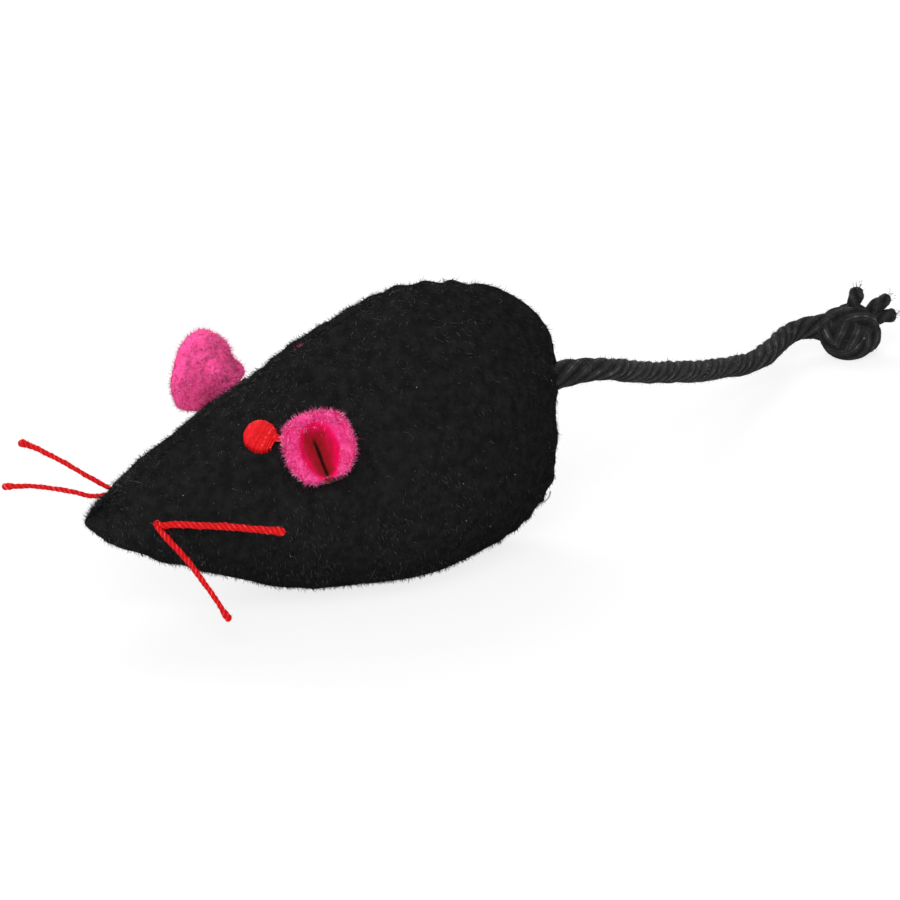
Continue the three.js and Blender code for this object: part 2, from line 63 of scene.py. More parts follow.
# Body: the sizes of the three outlines
BODY_LENGTH = 55
BODY_HEIGHT = 31
BODY_WIDTH = 25
NOSE_HEIGHT = 12.5
HUMP_FROM_REAR = 16.7
BELLY_FROM_REAR = 21.5
WIDEST_FROM_REAR = 21
REAR_SEAM_TOP = 19
REAR_SEAM_BOTTOM = 8
BELLY_FLAT_DEPTH = 0.5
RIDGE_POWER = 1.75
NOSE_X = -BODY_LENGTH / 2
REAR_X = BODY_LENGTH / 2

# Plush panels
PANEL_THICKNESS = 1.4
PANEL_STATIONS = 200
PANEL_RING = 140
SEAM_GAP = 0.08
SEAM_GROOVE = 0.6
SEAM_GROOVE_WIDTH = 0.4
SEAM_FADE = 5
PUCKER_HEIGHT = 0.16
PUCKER_LENGTH = 3.6
PUCKER_REACH = 2.6
PUCKER_SLANT = 0.8
PUCKER_WANDER = 1.5
LUMP_HEIGHT = 0.22
LUMP_LENGTH = 12
NUB_HEIGHT = 0.03
NUB_LENGTH = 1.5
BELLY_CLEAR = 0.02
PUCKER_PLACES = [(23.2, 59), (23.9, 58.2)]
PUCKER_CLEAR = 0.95

# Dents where something is sewn through the plush, each as its depth and reach
EAR_MOUND_REACH = 1.6
EYE_DENT = (0.3, 2.4)
WHISKER_DENT = (0.45, 1.5)
PUCKER_DENT = (0.9, 0.5)

# Pile: short dark fibres that lie along the nap, and fewer pale stray ones
NAP = (0.25, 0, -1)
PILE_COUNT = 19000
PILE_FIBRES = {"lengths": (0.3, 0.75), "width": 0.027, "lean": NAP, "scatter": 0.28, "rise": 0.3}
STRAY_COUNT = 6000
STRAY_FIBRES = {"lengths": (0.3, 0.85), "width": 0.014, "lean": NAP, "scatter": 0.6, "curl": 0.7, "rise": 0.3}
STRAY_LEAST = 0.26
STRAY_REAR_LOSS = 0.18
PILE_FLOOR = 0.08
LEAST_LIFT = 0.12
FIBRE_ROOT = 0.05
LINT_CURLS = 20
LINT_SPECKS = 45
LINT_LIFT = 0.3
LINT_TURN = (0.4, 1.8)
LINT_REACH = (0.5, 1.6)
LINT_RADIUS = (0.008, 0.015)
SPECK_RADIUS = (0.025, 0.06)
PATCH_SCALE = 170

# Ears: rounded squares of felt with a thick lip, pinched into a fold at the root
EAR_SQUARENESS = 2.6
EAR_THICKNESS = 1.2
EAR_FOLD_DEPTH = 2.2
EAR_FOLD_WIDTH = 1.3
EAR_FOLD_LENGTH = 5
EAR_PINCH = 0.75
EAR_CUP = 1.1
EAR_CUP_REACH = 1.15
EAR_FACE_CUP = 0.35
EAR_ROOT_RADIUS = 0.9
EAR_ROOT_LENGTH = 2.4
EAR_ROOT_SEEN = 0.45
EAR_ROOT_RAISED = 0.3
EAR_ROOT_HALF_SEEN = 0.75
EAR_NOTCH = 0.09
EAR_NOTCH_SPREAD = 5
EAR_BOWL_DEPTH = 1.05
EAR_BOWL_STRETCH = 1.45
EAR_BOWL_LOWER = 0.3
EAR_BOWL_EDGE = (0.25, 0.66)
EAR_WALL_EDGE = (0.5, 0.64)
EAR_LEAF_DEPTH = 1.15
EAR_LEAF_WIDTH = (0.9, 1.25)
EAR_LEAF_WIDENS = (0.3, 3.4)
EAR_LEAF_ENDS = (4, 6.2)
EAR_LEAF_CLEAR = 1.15
EAR_LEAST_THICKNESS = 0.5
EAR_SLIT_WIDTH = 0.17
EAR_SLIT_DEPTH = 0.25
EAR_SLIT_SLOPE = 0.08
EAR_SLIT_ENDS = (3.2, 5)
# Places on the felt's colour ramp: the lip's own tone, painted shade in the wall, leaf and slit, and a
# painted shadow at the root.
EAR_TONE_AND_PAINTED_SHADE = {"wall": 0.4, "leaf": 0.36, "slit": 0.34, "lip": 0.15, "root": 0.8}
EAR_RINGS = 30
EAR_RIM_STEPS = 11
EAR_SEGMENTS = 160
EAR_FUZZ_COUNT = 8000
EAR_FUZZ = {"lengths": (0.2, 0.65), "width": 0.024, "scatter": 0.7, "curl": 0.9, "rise": 0.22}
EAR_SEEN = 0.955
EAR_RAISED = 0.1
EAR_STRAY_COUNT = 260
EAR_STRAYS = {"lengths": (0.4, 0.95), "width": 0.011, "scatter": 0.8, "curl": 1.2, "rise": 0.7}
EAR_SET = {
    "left": {
        "side": -1, "radius": 3.7, "from_nose": 22, "angle": 12,
        "turn": 25, "tilt": 17.5, "lean": 14.5, "lobes": [], "mound": 0.1},
    "right": {
        "side": 1, "radius": 4.2, "from_nose": 24.3, "angle": 163.7,
        "turn": 18.5, "tilt": -4, "lean": 50, "lobes": [(-22, 0.52, 15), (97, 0.18, 20)], "mound": 1.1},
}
CLEARANCE = 0.3
TACK_SPAN = 2.4
TACK_RADIUS = 0.25
TACK_TAIL = 0.9

# Eyes: satin stitches over a low dome
EYE_RADIUS = 1.64
EYE_RISE = 0.85
EYE_STITCHES = 17
EYE_STITCH_RADIUS = 0.135
EYE_STITCH_SLANT = 38
EYE_STITCH_SHARES = (-1, -0.93, -0.7, -0.35, 0, 0.35, 0.7, 0.93, 1)
EYE_STITCH_END = -0.5
EYE_STITCH_STEP = 0.12
EYE_STITCH_SIDES = 10
EYE_STITCH_SHADE = (0.48, 0.8)
EYE_POINT = (1.9, -1.15)
EYE_POINT_STITCHES = 7
EYE_POINT_SPREAD = 0.75
EYE_DOME = [(0.5, -PANEL_THICKNESS), (0.5, -0.4), (0.95, -0.3), (0.9, 0.25), (0.62, 0.6), (0.2, 0.74)]
EYE_DOME_TOP = 0.75
EYE_DOME_SIDES = 32
EYE_DOME_SHADE = 0.2
EYE_SET = {
    "left": {"side": -1, "from_nose": 17.2, "angle": 43},
    "right": {"side": 1, "from_nose": 18.5, "angle": 160},
}

# Whiskers
WHISKER_FROM_NOSE = 5.7
WHISKER_HEIGHT = 12.5
WHISKER_RADIUS = 0.46
WHISKER_SPACING = 1.3
WHISKER_TWIST = {"strands": 3, "groove": 0.16, "lay": 1.7, "sides": 36}
WHISKER_INSET = 1.4
WHISKER_STEP = 0.06
WHISKER_SOFTEN = 0.35
WHISKER_WANDER = 0.4
WHISKER_BULB = (0.88, 0.96)
WHISKER_FUZZ_COUNT = 420
WHISKER_FUZZ = {"lengths": (0.1, 0.4), "width": 0.011, "scatter": 0.9}
WHISKER_ARMS = {
    "left_rear_whisker": {
        "side": -1, "level": 1, "end": (10.9, -7, -0.6), "hole": 0.65, "from_hole": 0, "bow": 0.05,
        "size": 0.83, "root": 0.9, "tip": 1.0, "bulb": 1.2},
    "left_lower_whisker": {
        "side": -1, "level": -1, "end": (5.0, -6, -8.1), "hole": 0.65, "from_hole": 1, "bow": 0.6,
        "size": 0.74, "root": 1.05, "tip": 0.78, "bulb": 1.4},
    "right_upper_whisker": {
        "side": 1, "level": 1, "end": (-6.1, 8.2, 3.6), "hole": 1.0, "from_hole": 0, "bow": 0.3,
        "size": 0.64, "root": 0.85, "tip": 1.0, "bulb": 1.45},
    "right_front_whisker": {
        "side": 1, "level": -1, "end": (-8, 8.2, 0.4), "hole": 0.65, "from_hole": 0, "bow": 0.45,
        "size": 0.62, "root": 0.85, "tip": 1.0, "bulb": 1.4},
}

# Tail: its route behind the rear seam as distance back, sideways to +Y and height
TAIL_HEIGHT = 17.6
TAIL_RADIUS = 1.2
TAIL_FLARE_RADIUS = 1.5
TAIL_FLARE_RUN = 6
TAIL_INSIDE = 9
TAIL_STRAIGHT = 3.1
TAIL_ROUTE = [
    (7.4, 1.1, 16.6), (10.6, 3.4, 14.9), (14.5, 6.2, 13.1), (19, 9.5, 11.1), (24, 13, 9), (29, 16.5, 7),
    (34, 20, 5.2), (38.5, 22.7, 3.9), (42, 24.9, 3.3), (45.3, 27.3, 3.1), (48.1, 29.4, 3.3), (51.1, 30, 3.5),
]
TAIL_SOFTEN = 1.4
TAIL_STEP = 0.3
TAIL_SIDES = 96
TAIL_TWIST = {"strands": 6, "groove": 0.13, "lay": -13, "sides": TAIL_SIDES, "wander": 0.22}
KNOT_TWIST = {**TAIL_TWIST, "groove": 0.07, "lay": -12}
TAIL_KNOT_SWELL = 0.4
TAIL_SWELL_RUN = 5
TAIL_FUZZ_COUNTS = (900, 3200, 1800)
TAIL_FUZZ = {"lengths": (0.15, 0.5), "width": 0.016, "scatter": 0.9}
FRAY_COUNT = 60
FRAY_SPREAD = 0.28
FRAY_FIBRES = {"lengths": (0.2, 0.55), "width": 0.03, "scatter": 0.4}
KNOT_PLACE = (56.1, 28)
KNOT_RADIUS = 3.1
KNOT_STRAND_RADIUS = 1.75
KNOT_STRETCH = (1.45, 1.4, 1.05)
KNOT_FLAT_DEPTH = 0.2
STRAND_ENDS = [(0.6, -0.3, 5.1), (3.7, -2.1, 4), (4.4, -2.5, 1.9)]
STRAND_END_RADIUS = 0.88
STRAND_END_TWIST = {"strands": 3, "groove": 0.2, "lay": -5, "sides": 36, "wander": 0.22}
KNOT_HEART_PLACE = (-0.5, -0.3, -0.1)
KNOT_HEART_RADII = (2.8, 2.45, 2.4)
KNOT_HEART_STEPS = 40
KNOT_WRAP = [
    (-1.1, 1.3, 1.5), (-2.5, 0.6, 0.6), (-2.8, -0.2, -1.0), (-1.8, -1.4, -1.7),
    (-0.3, -2.1, -1.5), (1.0, -2.2, -0.4), (1.8, -1.3, 0.8),
]
KNOT_WRAP_RADIUS = 1.25
KNOT_WRAP_SOFTEN = 0.5

# Loose bits on the plush, placed by distance from the nose and angle
TUFT_COUNT = 120
NOSE_PILE_COUNT = 700
PINK_FLECK = (24.3, 80)
FLECK_COUNT = 30
FLECK_SPREAD = 0.12
THREAD_CORNER = (52.2, -60)
THREAD_LINE = [(-0.8, 0, -0.3), (0, -0.2, 0.1), (0.5, -0.2, 0.5), (0.7, -0.1, 1.1)]
THREAD_LIFT = 0.3
THREAD_RADIUS = 0.1

# Sewing thread and filling
THREAD_TWIST = {"strands": 2, "groove": 0.12, "lay": 0.9, "sides": 12}
FILLING_ROUGHNESS = 0.25

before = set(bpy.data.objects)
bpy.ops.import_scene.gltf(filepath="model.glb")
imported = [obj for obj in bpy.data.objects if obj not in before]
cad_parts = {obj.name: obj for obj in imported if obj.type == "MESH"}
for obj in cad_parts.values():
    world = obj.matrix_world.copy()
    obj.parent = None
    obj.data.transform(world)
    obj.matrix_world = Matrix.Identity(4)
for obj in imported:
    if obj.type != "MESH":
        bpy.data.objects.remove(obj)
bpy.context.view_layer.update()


# Small tools
def unit(vectors):
    return vectors / np.maximum(np.linalg.norm(vectors, axis=-1, keepdims=True), 1e-12)


def smoothstep(value, low, high):
    share = np.clip((value - low) / (high - low), 0, 1)
    return share * share * (3 - 2 * share)


def circle(steps):
    """Angles in even steps round a circle."""
    return np.linspace(0, 2 * math.pi, steps, endpoint=False)


def waves(points, length, count, seed):
    """Smooth bumps of about that wavelength, mostly between -1 and 1."""
    own = np.random.default_rng(seed)
    ways = unit(own.normal(size=(count, 3))) * (2 * math.pi / length) * own.uniform(0.7, 1.4, (count, 1))
    phases = own.uniform(0, 2 * math.pi, count)
    return np.sin(points @ ways.T + phases).sum(axis=-1) / math.sqrt(count)


def add_object(name, data):
    made = bpy.data.objects.new(name, data)
    bpy.context.collection.objects.link(made)
    return made


def add_mesh(name, points, faces, material):
    mesh = bpy.data.meshes.new(name)
    mesh.from_pydata((np.asarray(points) * MM).tolist(), [], faces)
    mesh.polygons.foreach_set("use_smooth", [True] * len(mesh.polygons))
    mesh.materials.append(material)
    return add_object(name, mesh)


def mesh_points(mesh):
    """The points of a mesh, in metres."""
    places = np.empty(len(mesh.vertices) * 3)
    mesh.vertices.foreach_get("co", places)
    return places.reshape(-1, 3)


def joined(shapes):
    """Several (points, faces) shapes as one."""
    points, faces, first = [], [], 0
    for shape_points, shape_faces in shapes:
        points.append(np.asarray(shape_points))
        faces += [[first + corner for corner in face] for face in shape_faces]
        first += len(shape_points)
    return np.vstack(points), faces


def mark_points(obj, name, values):
    """Keep a number for each point of a mesh, for its material to read."""
    obj.data.attributes.new(name, "FLOAT", "POINT").data.foreach_set("value", np.asarray(values, float))


def dress(body, slot_name, *pieces):
    """Tell the body that pieces ride on; the material slot name is not used."""
    for piece in pieces:
        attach(piece, body)


# Materials
def add_node(tree, kind, inputs, **settings):
    """The outputs of a new shader node, whose inputs are plain values or the outputs of other nodes."""
    made = tree.nodes.new("ShaderNode" + kind)
    for setting, value in settings.items():
        setattr(made, setting, value)
    for place, value in inputs.items():
        if isinstance(value, bpy.types.NodeSocket):
            tree.links.new(value, made.inputs[place])
        else:
            made.inputs[place].default_value = value
    return made.outputs


def new_material(name, roughness, specular, sheen=0.0):
    made = bpy.data.materials.new(name)
    made.use_nodes = True
    shader = made.node_tree.nodes["Principled BSDF"]
    shader.inputs["Roughness"].default_value = roughness
    shader.inputs["Specular IOR Level"].default_value = specular
    shader.inputs["Sheen Weight"].default_value = sheen
    return made, made.node_tree, shader


def colour_ramp(tree, source, stops, target):
    ramp = tree.nodes.new("ShaderNodeValToRGB")
    places = ramp.color_ramp.elements
    while len(places) < len(stops):
        places.new(0.5)
    for place, (position, colour) in zip(places, stops):
        place.position = position
        place.color = (*colour, 1)
    tree.links.new(source, ramp.inputs["Fac"])
    tree.links.new(ramp.outputs["Color"], target)


def noise_output(tree, scale, detail=5):
    place = add_node(tree, "TexCoord", {})["Object"]
    return add_node(tree, "TexNoise", {"Vector": place, "Scale": scale, "Detail": detail})["Fac"]


def add_bump(tree, shader, scale, distance=0.00008, strength=0.6):
    height = noise_output(tree, scale, detail=4)
    inputs = {"Strength": strength, "Distance": distance, "Height": height}
    tree.links.new(add_node(tree, "Bump", inputs)["Normal"], shader.inputs["Normal"])


def mottled(name, stops, scale, roughness, specular, sheen=0.0):
    made, tree, shader = new_material(name, roughness, specular, sheen)
    colour_ramp(tree, noise_output(tree, scale), stops, shader.inputs["Base Color"])
    add_bump(tree, shader, scale=5000)
    return made


def unevened(tree, source, stray, scale):
    """A value made uneven by noise."""
    noise = noise_output(tree, scale)
    centred = add_node(tree, "Math", {0: noise, 1: 0.5}, operation="SUBTRACT")["Value"]
    inputs = {0: centred, 1: stray, 2: source}
    return add_node(tree, "Math", inputs, operation="MULTIPLY_ADD")["Value"]


def shifted(tree, source, axis, low, high, amount):
    """A value that changes by the amount between two places along an axis."""
    place = add_node(tree, "TexCoord", {})["Object"]
    part = add_node(tree, "SeparateXYZ", {"Vector": place})[axis]
    inputs = {"Value": part, "From Min": low * MM, "From Max": high * MM, "To Max": amount}
    change = add_node(tree, "MapRange", inputs, interpolation_type="SMOOTHSTEP")["Result"]
    return add_node(tree, "Math", {0: source, 1: change}, operation="ADD")["Value"]


def fibre_material(name, stops, roughness=0.8, specular=0.15, patches=0.0, painted_light_shifts=()):
    """Each fibre takes its own shade, in lighter and darker patches, and the shifts add painted light and
    shade by region.
    """
    made, tree, shader = new_material(name, roughness, specular)
    own = add_node(tree, "NewGeometry", {})["Random Per Island"]
    shade = unevened(tree, own, patches, PATCH_SCALE)
    for shift in painted_light_shifts:
        shade = shifted(tree, shade, *shift)
    colour_ramp(tree, shade, stops, shader.inputs["Base Color"])
    return made


def shaded_material(
        name, mark, stops, stray, stray_scale, roughness, specular, sheen=0.0, bump_depth=0.00008):
    """A colour that follows a number kept on the mesh, made uneven by noise."""
    made, tree, shader = new_material(name, roughness, specular, sheen)
    kept = add_node(tree, "Attribute", {}, attribute_name=mark)["Fac"]
    shade = unevened(tree, kept, stray, stray_scale)
    colour_ramp(tree, shade, stops, shader.inputs["Base Color"])
    add_bump(tree, shader, scale=4500, distance=bump_depth)
    return made


def grey(*levels):
    """Stops of a grey ramp from (position, level) pairs."""
    return [(position, (level, level, level * 1.02)) for position, level in levels]


plush = mottled("plush", grey((0.35, 0.007), (0.75, 0.014)), scale=900, roughness=1, specular=0)
PILE_STOPS = grey((0, 0.008), (0.6, 0.016), (0.92, 0.032), (1, 0.065))
# Painted light and shade on the pile: darker towards the rear as painted shade, and lighter along the top of
# the back as a painted sheen.
PILE_PAINTED_LIGHT_SHIFTS = [("X", 2, 26, -0.45), ("Z", 17, 30, 0.22)]
pile = fibre_material(
    "plush_pile", PILE_STOPS, roughness=0.9, specular=0, patches=1.9, painted_light_shifts=PILE_PAINTED_LIGHT_SHIFTS)
stray_pile = fibre_material("stray_fibres", grey((0, 0.02), (0.65, 0.05), (1, 0.17)))
lint = fibre_material("lint", grey((0, 0.04), (0.6, 0.1), (1, 0.35)))
# Felt colours along the ear's mark: the bright pink at 0, on the ears' backs and rims, is painted light; 0.15
# is the lip's own pink; the deep pink of the wall and the darker stops for the leaf, slit and root are
# painted shade.
FELT_STOPS = [
    (0.0, (0.95, 0.1, 0.36)), (0.15, (0.6, 0.03, 0.17)), (0.38, (0.76, 0.001, 0.095)),
    (0.55, (0.42, 0.005, 0.03)), (0.75, (0.23, 0.009, 0.012)), (1.0, (0.02, 0.003, 0.004)),
]
felt = shaded_material(
    "pink_felt", "felt_tone_and_painted_light", FELT_STOPS, stray=0.4, stray_scale=1100,
    roughness=0.95, specular=0.02, sheen=0.03, bump_depth=0.00012)
FUZZ_STOPS = [
    (0.0, (0.34, 0.004, 0.07)), (0.35, (0.58, 0.022, 0.16)), (0.7, (0.84, 0.14, 0.34)),
    (1.0, (0.95, 0.45, 0.62)),
]
felt_fuzz = fibre_material("felt_fuzz", FUZZ_STOPS, specular=0.06)
# Lighter fuzz for the ears' backs, as painted light.
BACK_FUZZ_PAINTED_LIGHT_STOPS = [(0.0, (0.75, 0.04, 0.22)), (0.6, (0.92, 0.1, 0.35)), (1.0, (0.98, 0.42, 0.6))]
back_fuzz_painted_light = fibre_material("felt_fuzz_painted_light", BACK_FUZZ_PAINTED_LIGHT_STOPS, specular=0.06)
# Red thread: darker in the grooves of the twist as painted shade, and pale on the crests as painted
# highlight.
RED_STOPS = [
    (0.0, (0.24, 0.001, 0.002)), (0.5, (0.47, 0.003, 0.005)), (0.84, (0.62, 0.006, 0.008)),
    (1.0, (0.92, 0.2, 0.18)),
]
red_thread = shaded_material(
    "red_thread", "crest", RED_STOPS, stray=0.5, stray_scale=1800, roughness=0.7, specular=0.1)
# Eye thread: each stitch has its own red, and the palest stop gives painted highlight specks.
EYE_STOPS = [
    (0.1, (0.3, 0.001, 0.002)), (0.5, (0.56, 0.002, 0.006)), (0.85, (0.75, 0.01, 0.016)),
    (1.0, (0.95, 0.14, 0.13)),
]
eye_thread = shaded_material(
    "eye_thread", "crest", EYE_STOPS, stray=0.9, stray_scale=3200, roughness=0.5, specular=0.15)
red_fuzz = fibre_material("red_fuzz", [(0, (0.4, 0.003, 0.004)), (1, (0.7, 0.03, 0.03))])
# Cord: darker in the grooves of the twist as painted shade, and lighter on the crests as painted highlight
# streaks.
CORD_STOPS = grey((0.1, 0.005), (0.6, 0.014), (0.9, 0.03), (1.0, 0.09))
cord_yarn = shaded_material(
    "cord_yarn", "crest", CORD_STOPS, stray=1.0, stray_scale=1000,
    roughness=0.95, specular=0.06, sheen=0.03, bump_depth=0.00016)
cord_fuzz = fibre_material("cord_fuzz", grey((0, 0.01), (0.7, 0.045), (1, 0.2)))
THREAD_STOPS = grey((0.3, 0.006), (0.7, 0.016))
black_thread = mottled("black_thread", THREAD_STOPS, scale=4000, roughness=0.7, specular=0.3)
FLUFF_STOPS = [(0.3, (0.6, 0.58, 0.54)), (0.7, (0.85, 0.83, 0.79))]
fluff = mottled("filling_fluff", FLUFF_STOPS, scale=700, roughness=1, specular=0.1, sheen=0.2)
HERB_STOPS = [(0.3, (0.07, 0.08, 0.028)), (0.7, (0.2, 0.2, 0.08))]
herb = mottled("dried_herb", HERB_STOPS, scale=900, roughness=1, specular=0.1)
PALE_STOPS = [(0.3, (0.3, 0.29, 0.27)), (0.7, (0.55, 0.53, 0.5))]
pale_thread = mottled("pale_thread", PALE_STOPS, scale=4000, roughness=0.8, specular=0.2)


# Camera, light and floor
def camera_back():
    turn, rise = math.radians(CAMERA_TURN), math.radians(CAMERA_RISE)
    return Vector((math.sin(turn) * math.cos(rise), -math.cos(turn) * math.cos(rise), math.sin(rise)))


def add_camera():
    data = bpy.data.cameras.new("camera")
    data.lens = CAMERA_LENS
    data.sensor_width = CAMERA_SENSOR
    data.clip_start = CAMERA_CLIP * MM
    made = add_object("camera", data)
    made.location = (Vector(CAMERA_AIM) + camera_back() * CAMERA_DISTANCE) * MM
    made.rotation_euler = camera_back().to_track_quat("Z", "Y").to_euler()
    bpy.context.scene.camera = made


def add_lamp(name, place, aim, size, power):
    data = bpy.data.lights.new(name, "AREA")
    data.size = size
    data.energy = power
    made = add_object(name, data)
    made.location = place
    made.rotation_euler = (Vector(place) - Vector(aim)).to_track_quat("Z", "Y").to_euler()


def mix_shaders(tree, share, first, second, output):
    """Two shaders, mixed by the share of the second, on the tree's output."""
    mix = add_node(tree, "MixShader", {"Fac": share, 1: first, 2: second})
    tree.links.new(mix["Shader"], tree.nodes[output].inputs["Surface"])


def light_world():
    world = bpy.data.worlds.new("studio")
    bpy.context.scene.world = world
    world.use_nodes = True
    tree = world.node_tree
    seen = tree.nodes["Background"]
    seen.inputs["Color"].default_value = WHITE
    inputs = {"Color": WHITE, "Strength": WORLD_STRENGTH}
    lighting = add_node(tree, "Background", inputs)["Background"]
    rays = add_node(tree, "LightPath", {})["Is Camera Ray"]
    mix_shaders(tree, rays, lighting, seen.outputs["Background"], "World Output")


def add_floor():
    made, tree, surface = new_material("white_floor", roughness=1, specular=0)
    surface.inputs["Base Color"].default_value = FLOOR_COLOUR
    glow = add_node(tree, "Emission", {"Color": WHITE})["Emission"]
    rays = add_node(tree, "LightPath", {})["Is Camera Ray"]
    share = add_node(tree, "Math", {0: rays, 1: FLOOR_WHITENESS}, operation="MULTIPLY")["Value"]
    mix_shaders(tree, share, surface.outputs["BSDF"], glow, "Material Output")
    corners = [(x * FLOOR_HALF, y * FLOOR_HALF, 0) for x, y in ((-1, -1), (1, -1), (1, 1), (-1, 1))]
    add_mesh("floor", corners, [[0, 1, 2, 3]], made)


bpy.context.scene.view_settings.view_transform = "Standard"
add_camera()
light_world()
add_floor()
for lamp in LAMPS:
    add_lamp(*lamp)


# Cords: paths and twisted tubes
def smooth_path(points, step, soften=0.0):
    """A smooth line through the points, in even steps, its bends eased over the softening length."""
    known = np.asarray(points, float)
    known = np.vstack([2 * known[0] - known[1], known, 2 * known[-1] - known[-2]])
    share = np.linspace(0, 1, 40, endpoint=False)[:, None]
    spans = []
    for before, start, end, after in zip(known, known[1:], known[2:], known[3:]):
        spans.append(0.5 * (
            2 * start + (end - before) * share
            + (2 * before - 5 * start + 4 * end - after) * share**2
            + (3 * start - before - 3 * end + after) * share**3))
    path = even_path(np.vstack([*spans, known[-2:-1]]), step)
    if soften == 0.0:
        return path
    reach = int(3 * soften / step)
    weights = np.exp(-0.5 * (np.arange(-reach, reach + 1) * step / soften) ** 2)
    back = np.arange(reach, 0, -1)[:, None]
    ahead = back[::-1]
    longer = np.vstack([
        path[0] - back * (path[1] - path[0]), path, path[-1] + ahead * (path[-1] - path[-2])])
    eased = [np.convolve(longer[:, axis], weights / weights.sum(), "valid") for axis in range(3)]
    return np.stack(eased, axis=-1)


def lengths_along(path):
    return np.concatenate([[0], np.cumsum(np.linalg.norm(np.diff(path, axis=0), axis=1))])


def even_path(path, step):
    run = lengths_along(path)
    even = np.linspace(0, run[-1], max(2, round(run[-1] / step) + 1))
    return np.stack([np.interp(even, run, path[:, axis]) for axis in range(3)], axis=-1)


def rounded_ends(path, radii):
    """Radii that close in a round cap at both ends."""
    run = lengths_along(path)
    made = np.array(radii, float)
    for away, at in ((run, 0), (run[-1] - run, -1)):
        cap = made[at]
        made *= np.sqrt(np.clip(1 - np.clip(1 - away / cap, 0, 1) ** 2, 0.01, 1))
    return made


def rope_rings(path, radii, strands, groove, lay, sides, wander=0.0, seed=0):
    """Rings of a cord whose strands turn once in each lay length, and each point's nearness to a crest."""
    tangent = unit(np.gradient(path, axis=0))
    flat = np.array((0.0, 0.0, 1.0)) if abs(tangent[0][2]) < 0.9 else np.array((1.0, 0.0, 0.0))
    across = [unit(np.cross(tangent[0], flat))]
    for direction in tangent[1:]:
        across.append(unit(across[-1] - direction * (across[-1] @ direction)))
    across = np.array(across)
    other = np.cross(tangent, across)
    turns = circle(sides)
    crest = np.abs(np.cos(strands * turns / 2))
    fine = np.abs(np.cos(4 * strands * turns / 2))
    uneven = 1 + wander * 0.12 * np.sin(turns + seed) + wander * 0.1 * np.sin(2 * turns + 2 * seed)
    profile = (1 - groove * (1 - crest) - 0.1 * groove * (1 - fine)) * uneven
    angle = 2 * math.pi * lengths_along(path) / lay + wander * waves(path, 7, 6, seed)
    spin = turns[None, :] + angle[:, None]
    out = np.cos(spin)[..., None] * across[:, None, :] + np.sin(spin)[..., None] * other[:, None, :]
    rings = path[:, None, :] + (radii[:, None] * profile[None, :])[..., None] * out
    return rings, np.tile(0.6 * crest + 0.3 * fine, len(path))


def tube_shape(rings, centres):
    """A closed tube from its rings, with a point in the middle of each end."""
    count, sides = rings.shape[:2]
    points = np.vstack([rings.reshape(-1, 3), centres[0], centres[-1]])
    here = np.arange(count - 1)[:, None] * sides + np.arange(sides)[None, :]
    beside = np.arange(count - 1)[:, None] * sides + (np.arange(sides)[None, :] + 1) % sides
    faces = np.stack([here, beside, beside + sides, here + sides], axis=-1).reshape(-1, 4).tolist()
    first, last = count * sides, count * sides + 1
    for j in range(sides):
        after = (j + 1) % sides
        faces.append([first, after, j])
        faces.append([last, first - sides + j, first - sides + after])
    return points, faces


def rope_shape(path, radii, **twist):
    """A closed twisted cord: its points, its faces and each point's place between groove and crest."""
    rings, crest = rope_rings(path, radii, **twist)
    return *tube_shape(rings, path), np.append(crest, (0.5, 0.5))


def thread_shape(points, radius, step=0.15, **twist):
    path = smooth_path(points, step)
    radii = rounded_ends(path, np.full(len(path), radius))
    return rope_shape(path, radii, **{**THREAD_TWIST, **twist})


def add_ropes(name, shapes, material):
    """One object from several twisted cords."""
    made = add_mesh(name, *joined([shape[:2] for shape in shapes]), material)
    mark_points(made, "crest", np.concatenate([shape[2] for shape in shapes]))
    return made


# Fibres
def surface_samples(obj, count, faces=None):
    """Random points on an object's faces with their normals, in millimetres, evenly by area."""
    mesh = obj.data
    mesh.calc_loop_triangles()
    corners = np.empty(len(mesh.loop_triangles) * 3, dtype=np.int64)
    mesh.loop_triangles.foreach_get("vertices", corners)
    owners = np.empty(len(mesh.loop_triangles), dtype=np.int64)
    mesh.loop_triangles.foreach_get("polygon_index", owners)
    triangles = (mesh_points(mesh) / MM)[corners.reshape(-1, 3)]
    if faces is not None:
        triangles = triangles[owners < faces]
    cross = np.cross(triangles[:, 1] - triangles[:, 0], triangles[:, 2] - triangles[:, 0])
    area = np.linalg.norm(cross, axis=1)
    chosen = draw.choice(len(triangles), count, p=area / area.sum())
    a, b = np.sqrt(draw.random(count))[:, None], draw.random(count)[:, None]
    picked = triangles[chosen]
    points = picked[:, 0] * (1 - a) + picked[:, 1] * (a * (1 - b)) + picked[:, 2] * (a * b)
    return points, unit(cross[chosen])


def fibre_shape(roots, ways, lengths, width, curl):
    """Tapering three-sided fibres, each bent a little to one side."""
    count = len(roots)
    beside = unit(np.cross(ways, unit(draw.normal(size=(count, 3)))))
    other = np.cross(ways, beside)
    turns = (np.arange(3) * 2 * math.pi / 3)[None, :, None]
    ring = np.cos(turns) * beside[:, None, :] + np.sin(turns) * other[:, None, :]
    bow = beside * (lengths * curl * draw.uniform(0.2, 1, count))[:, None]
    middle = roots + ways * (lengths * 0.55)[:, None] + bow * 0.35
    tip = roots + ways * lengths[:, None] * 0.95 + bow
    points = np.concatenate([
        roots[:, None, :] + ring * width, middle[:, None, :] + ring * width * 0.8, tip[:, None, :]], axis=1)
    first = np.arange(count)[:, None, None] * 7
    triangles = first + np.array([[2, 1, 0], [3, 4, 6], [4, 5, 6], [5, 3, 6]])[None]
    quads = first + np.array([[0, 1, 4, 3], [1, 2, 5, 4], [2, 0, 3, 5]])[None]
    return points.reshape(-1, 3), triangles.reshape(-1, 3).tolist() + quads.reshape(-1, 4).tolist()


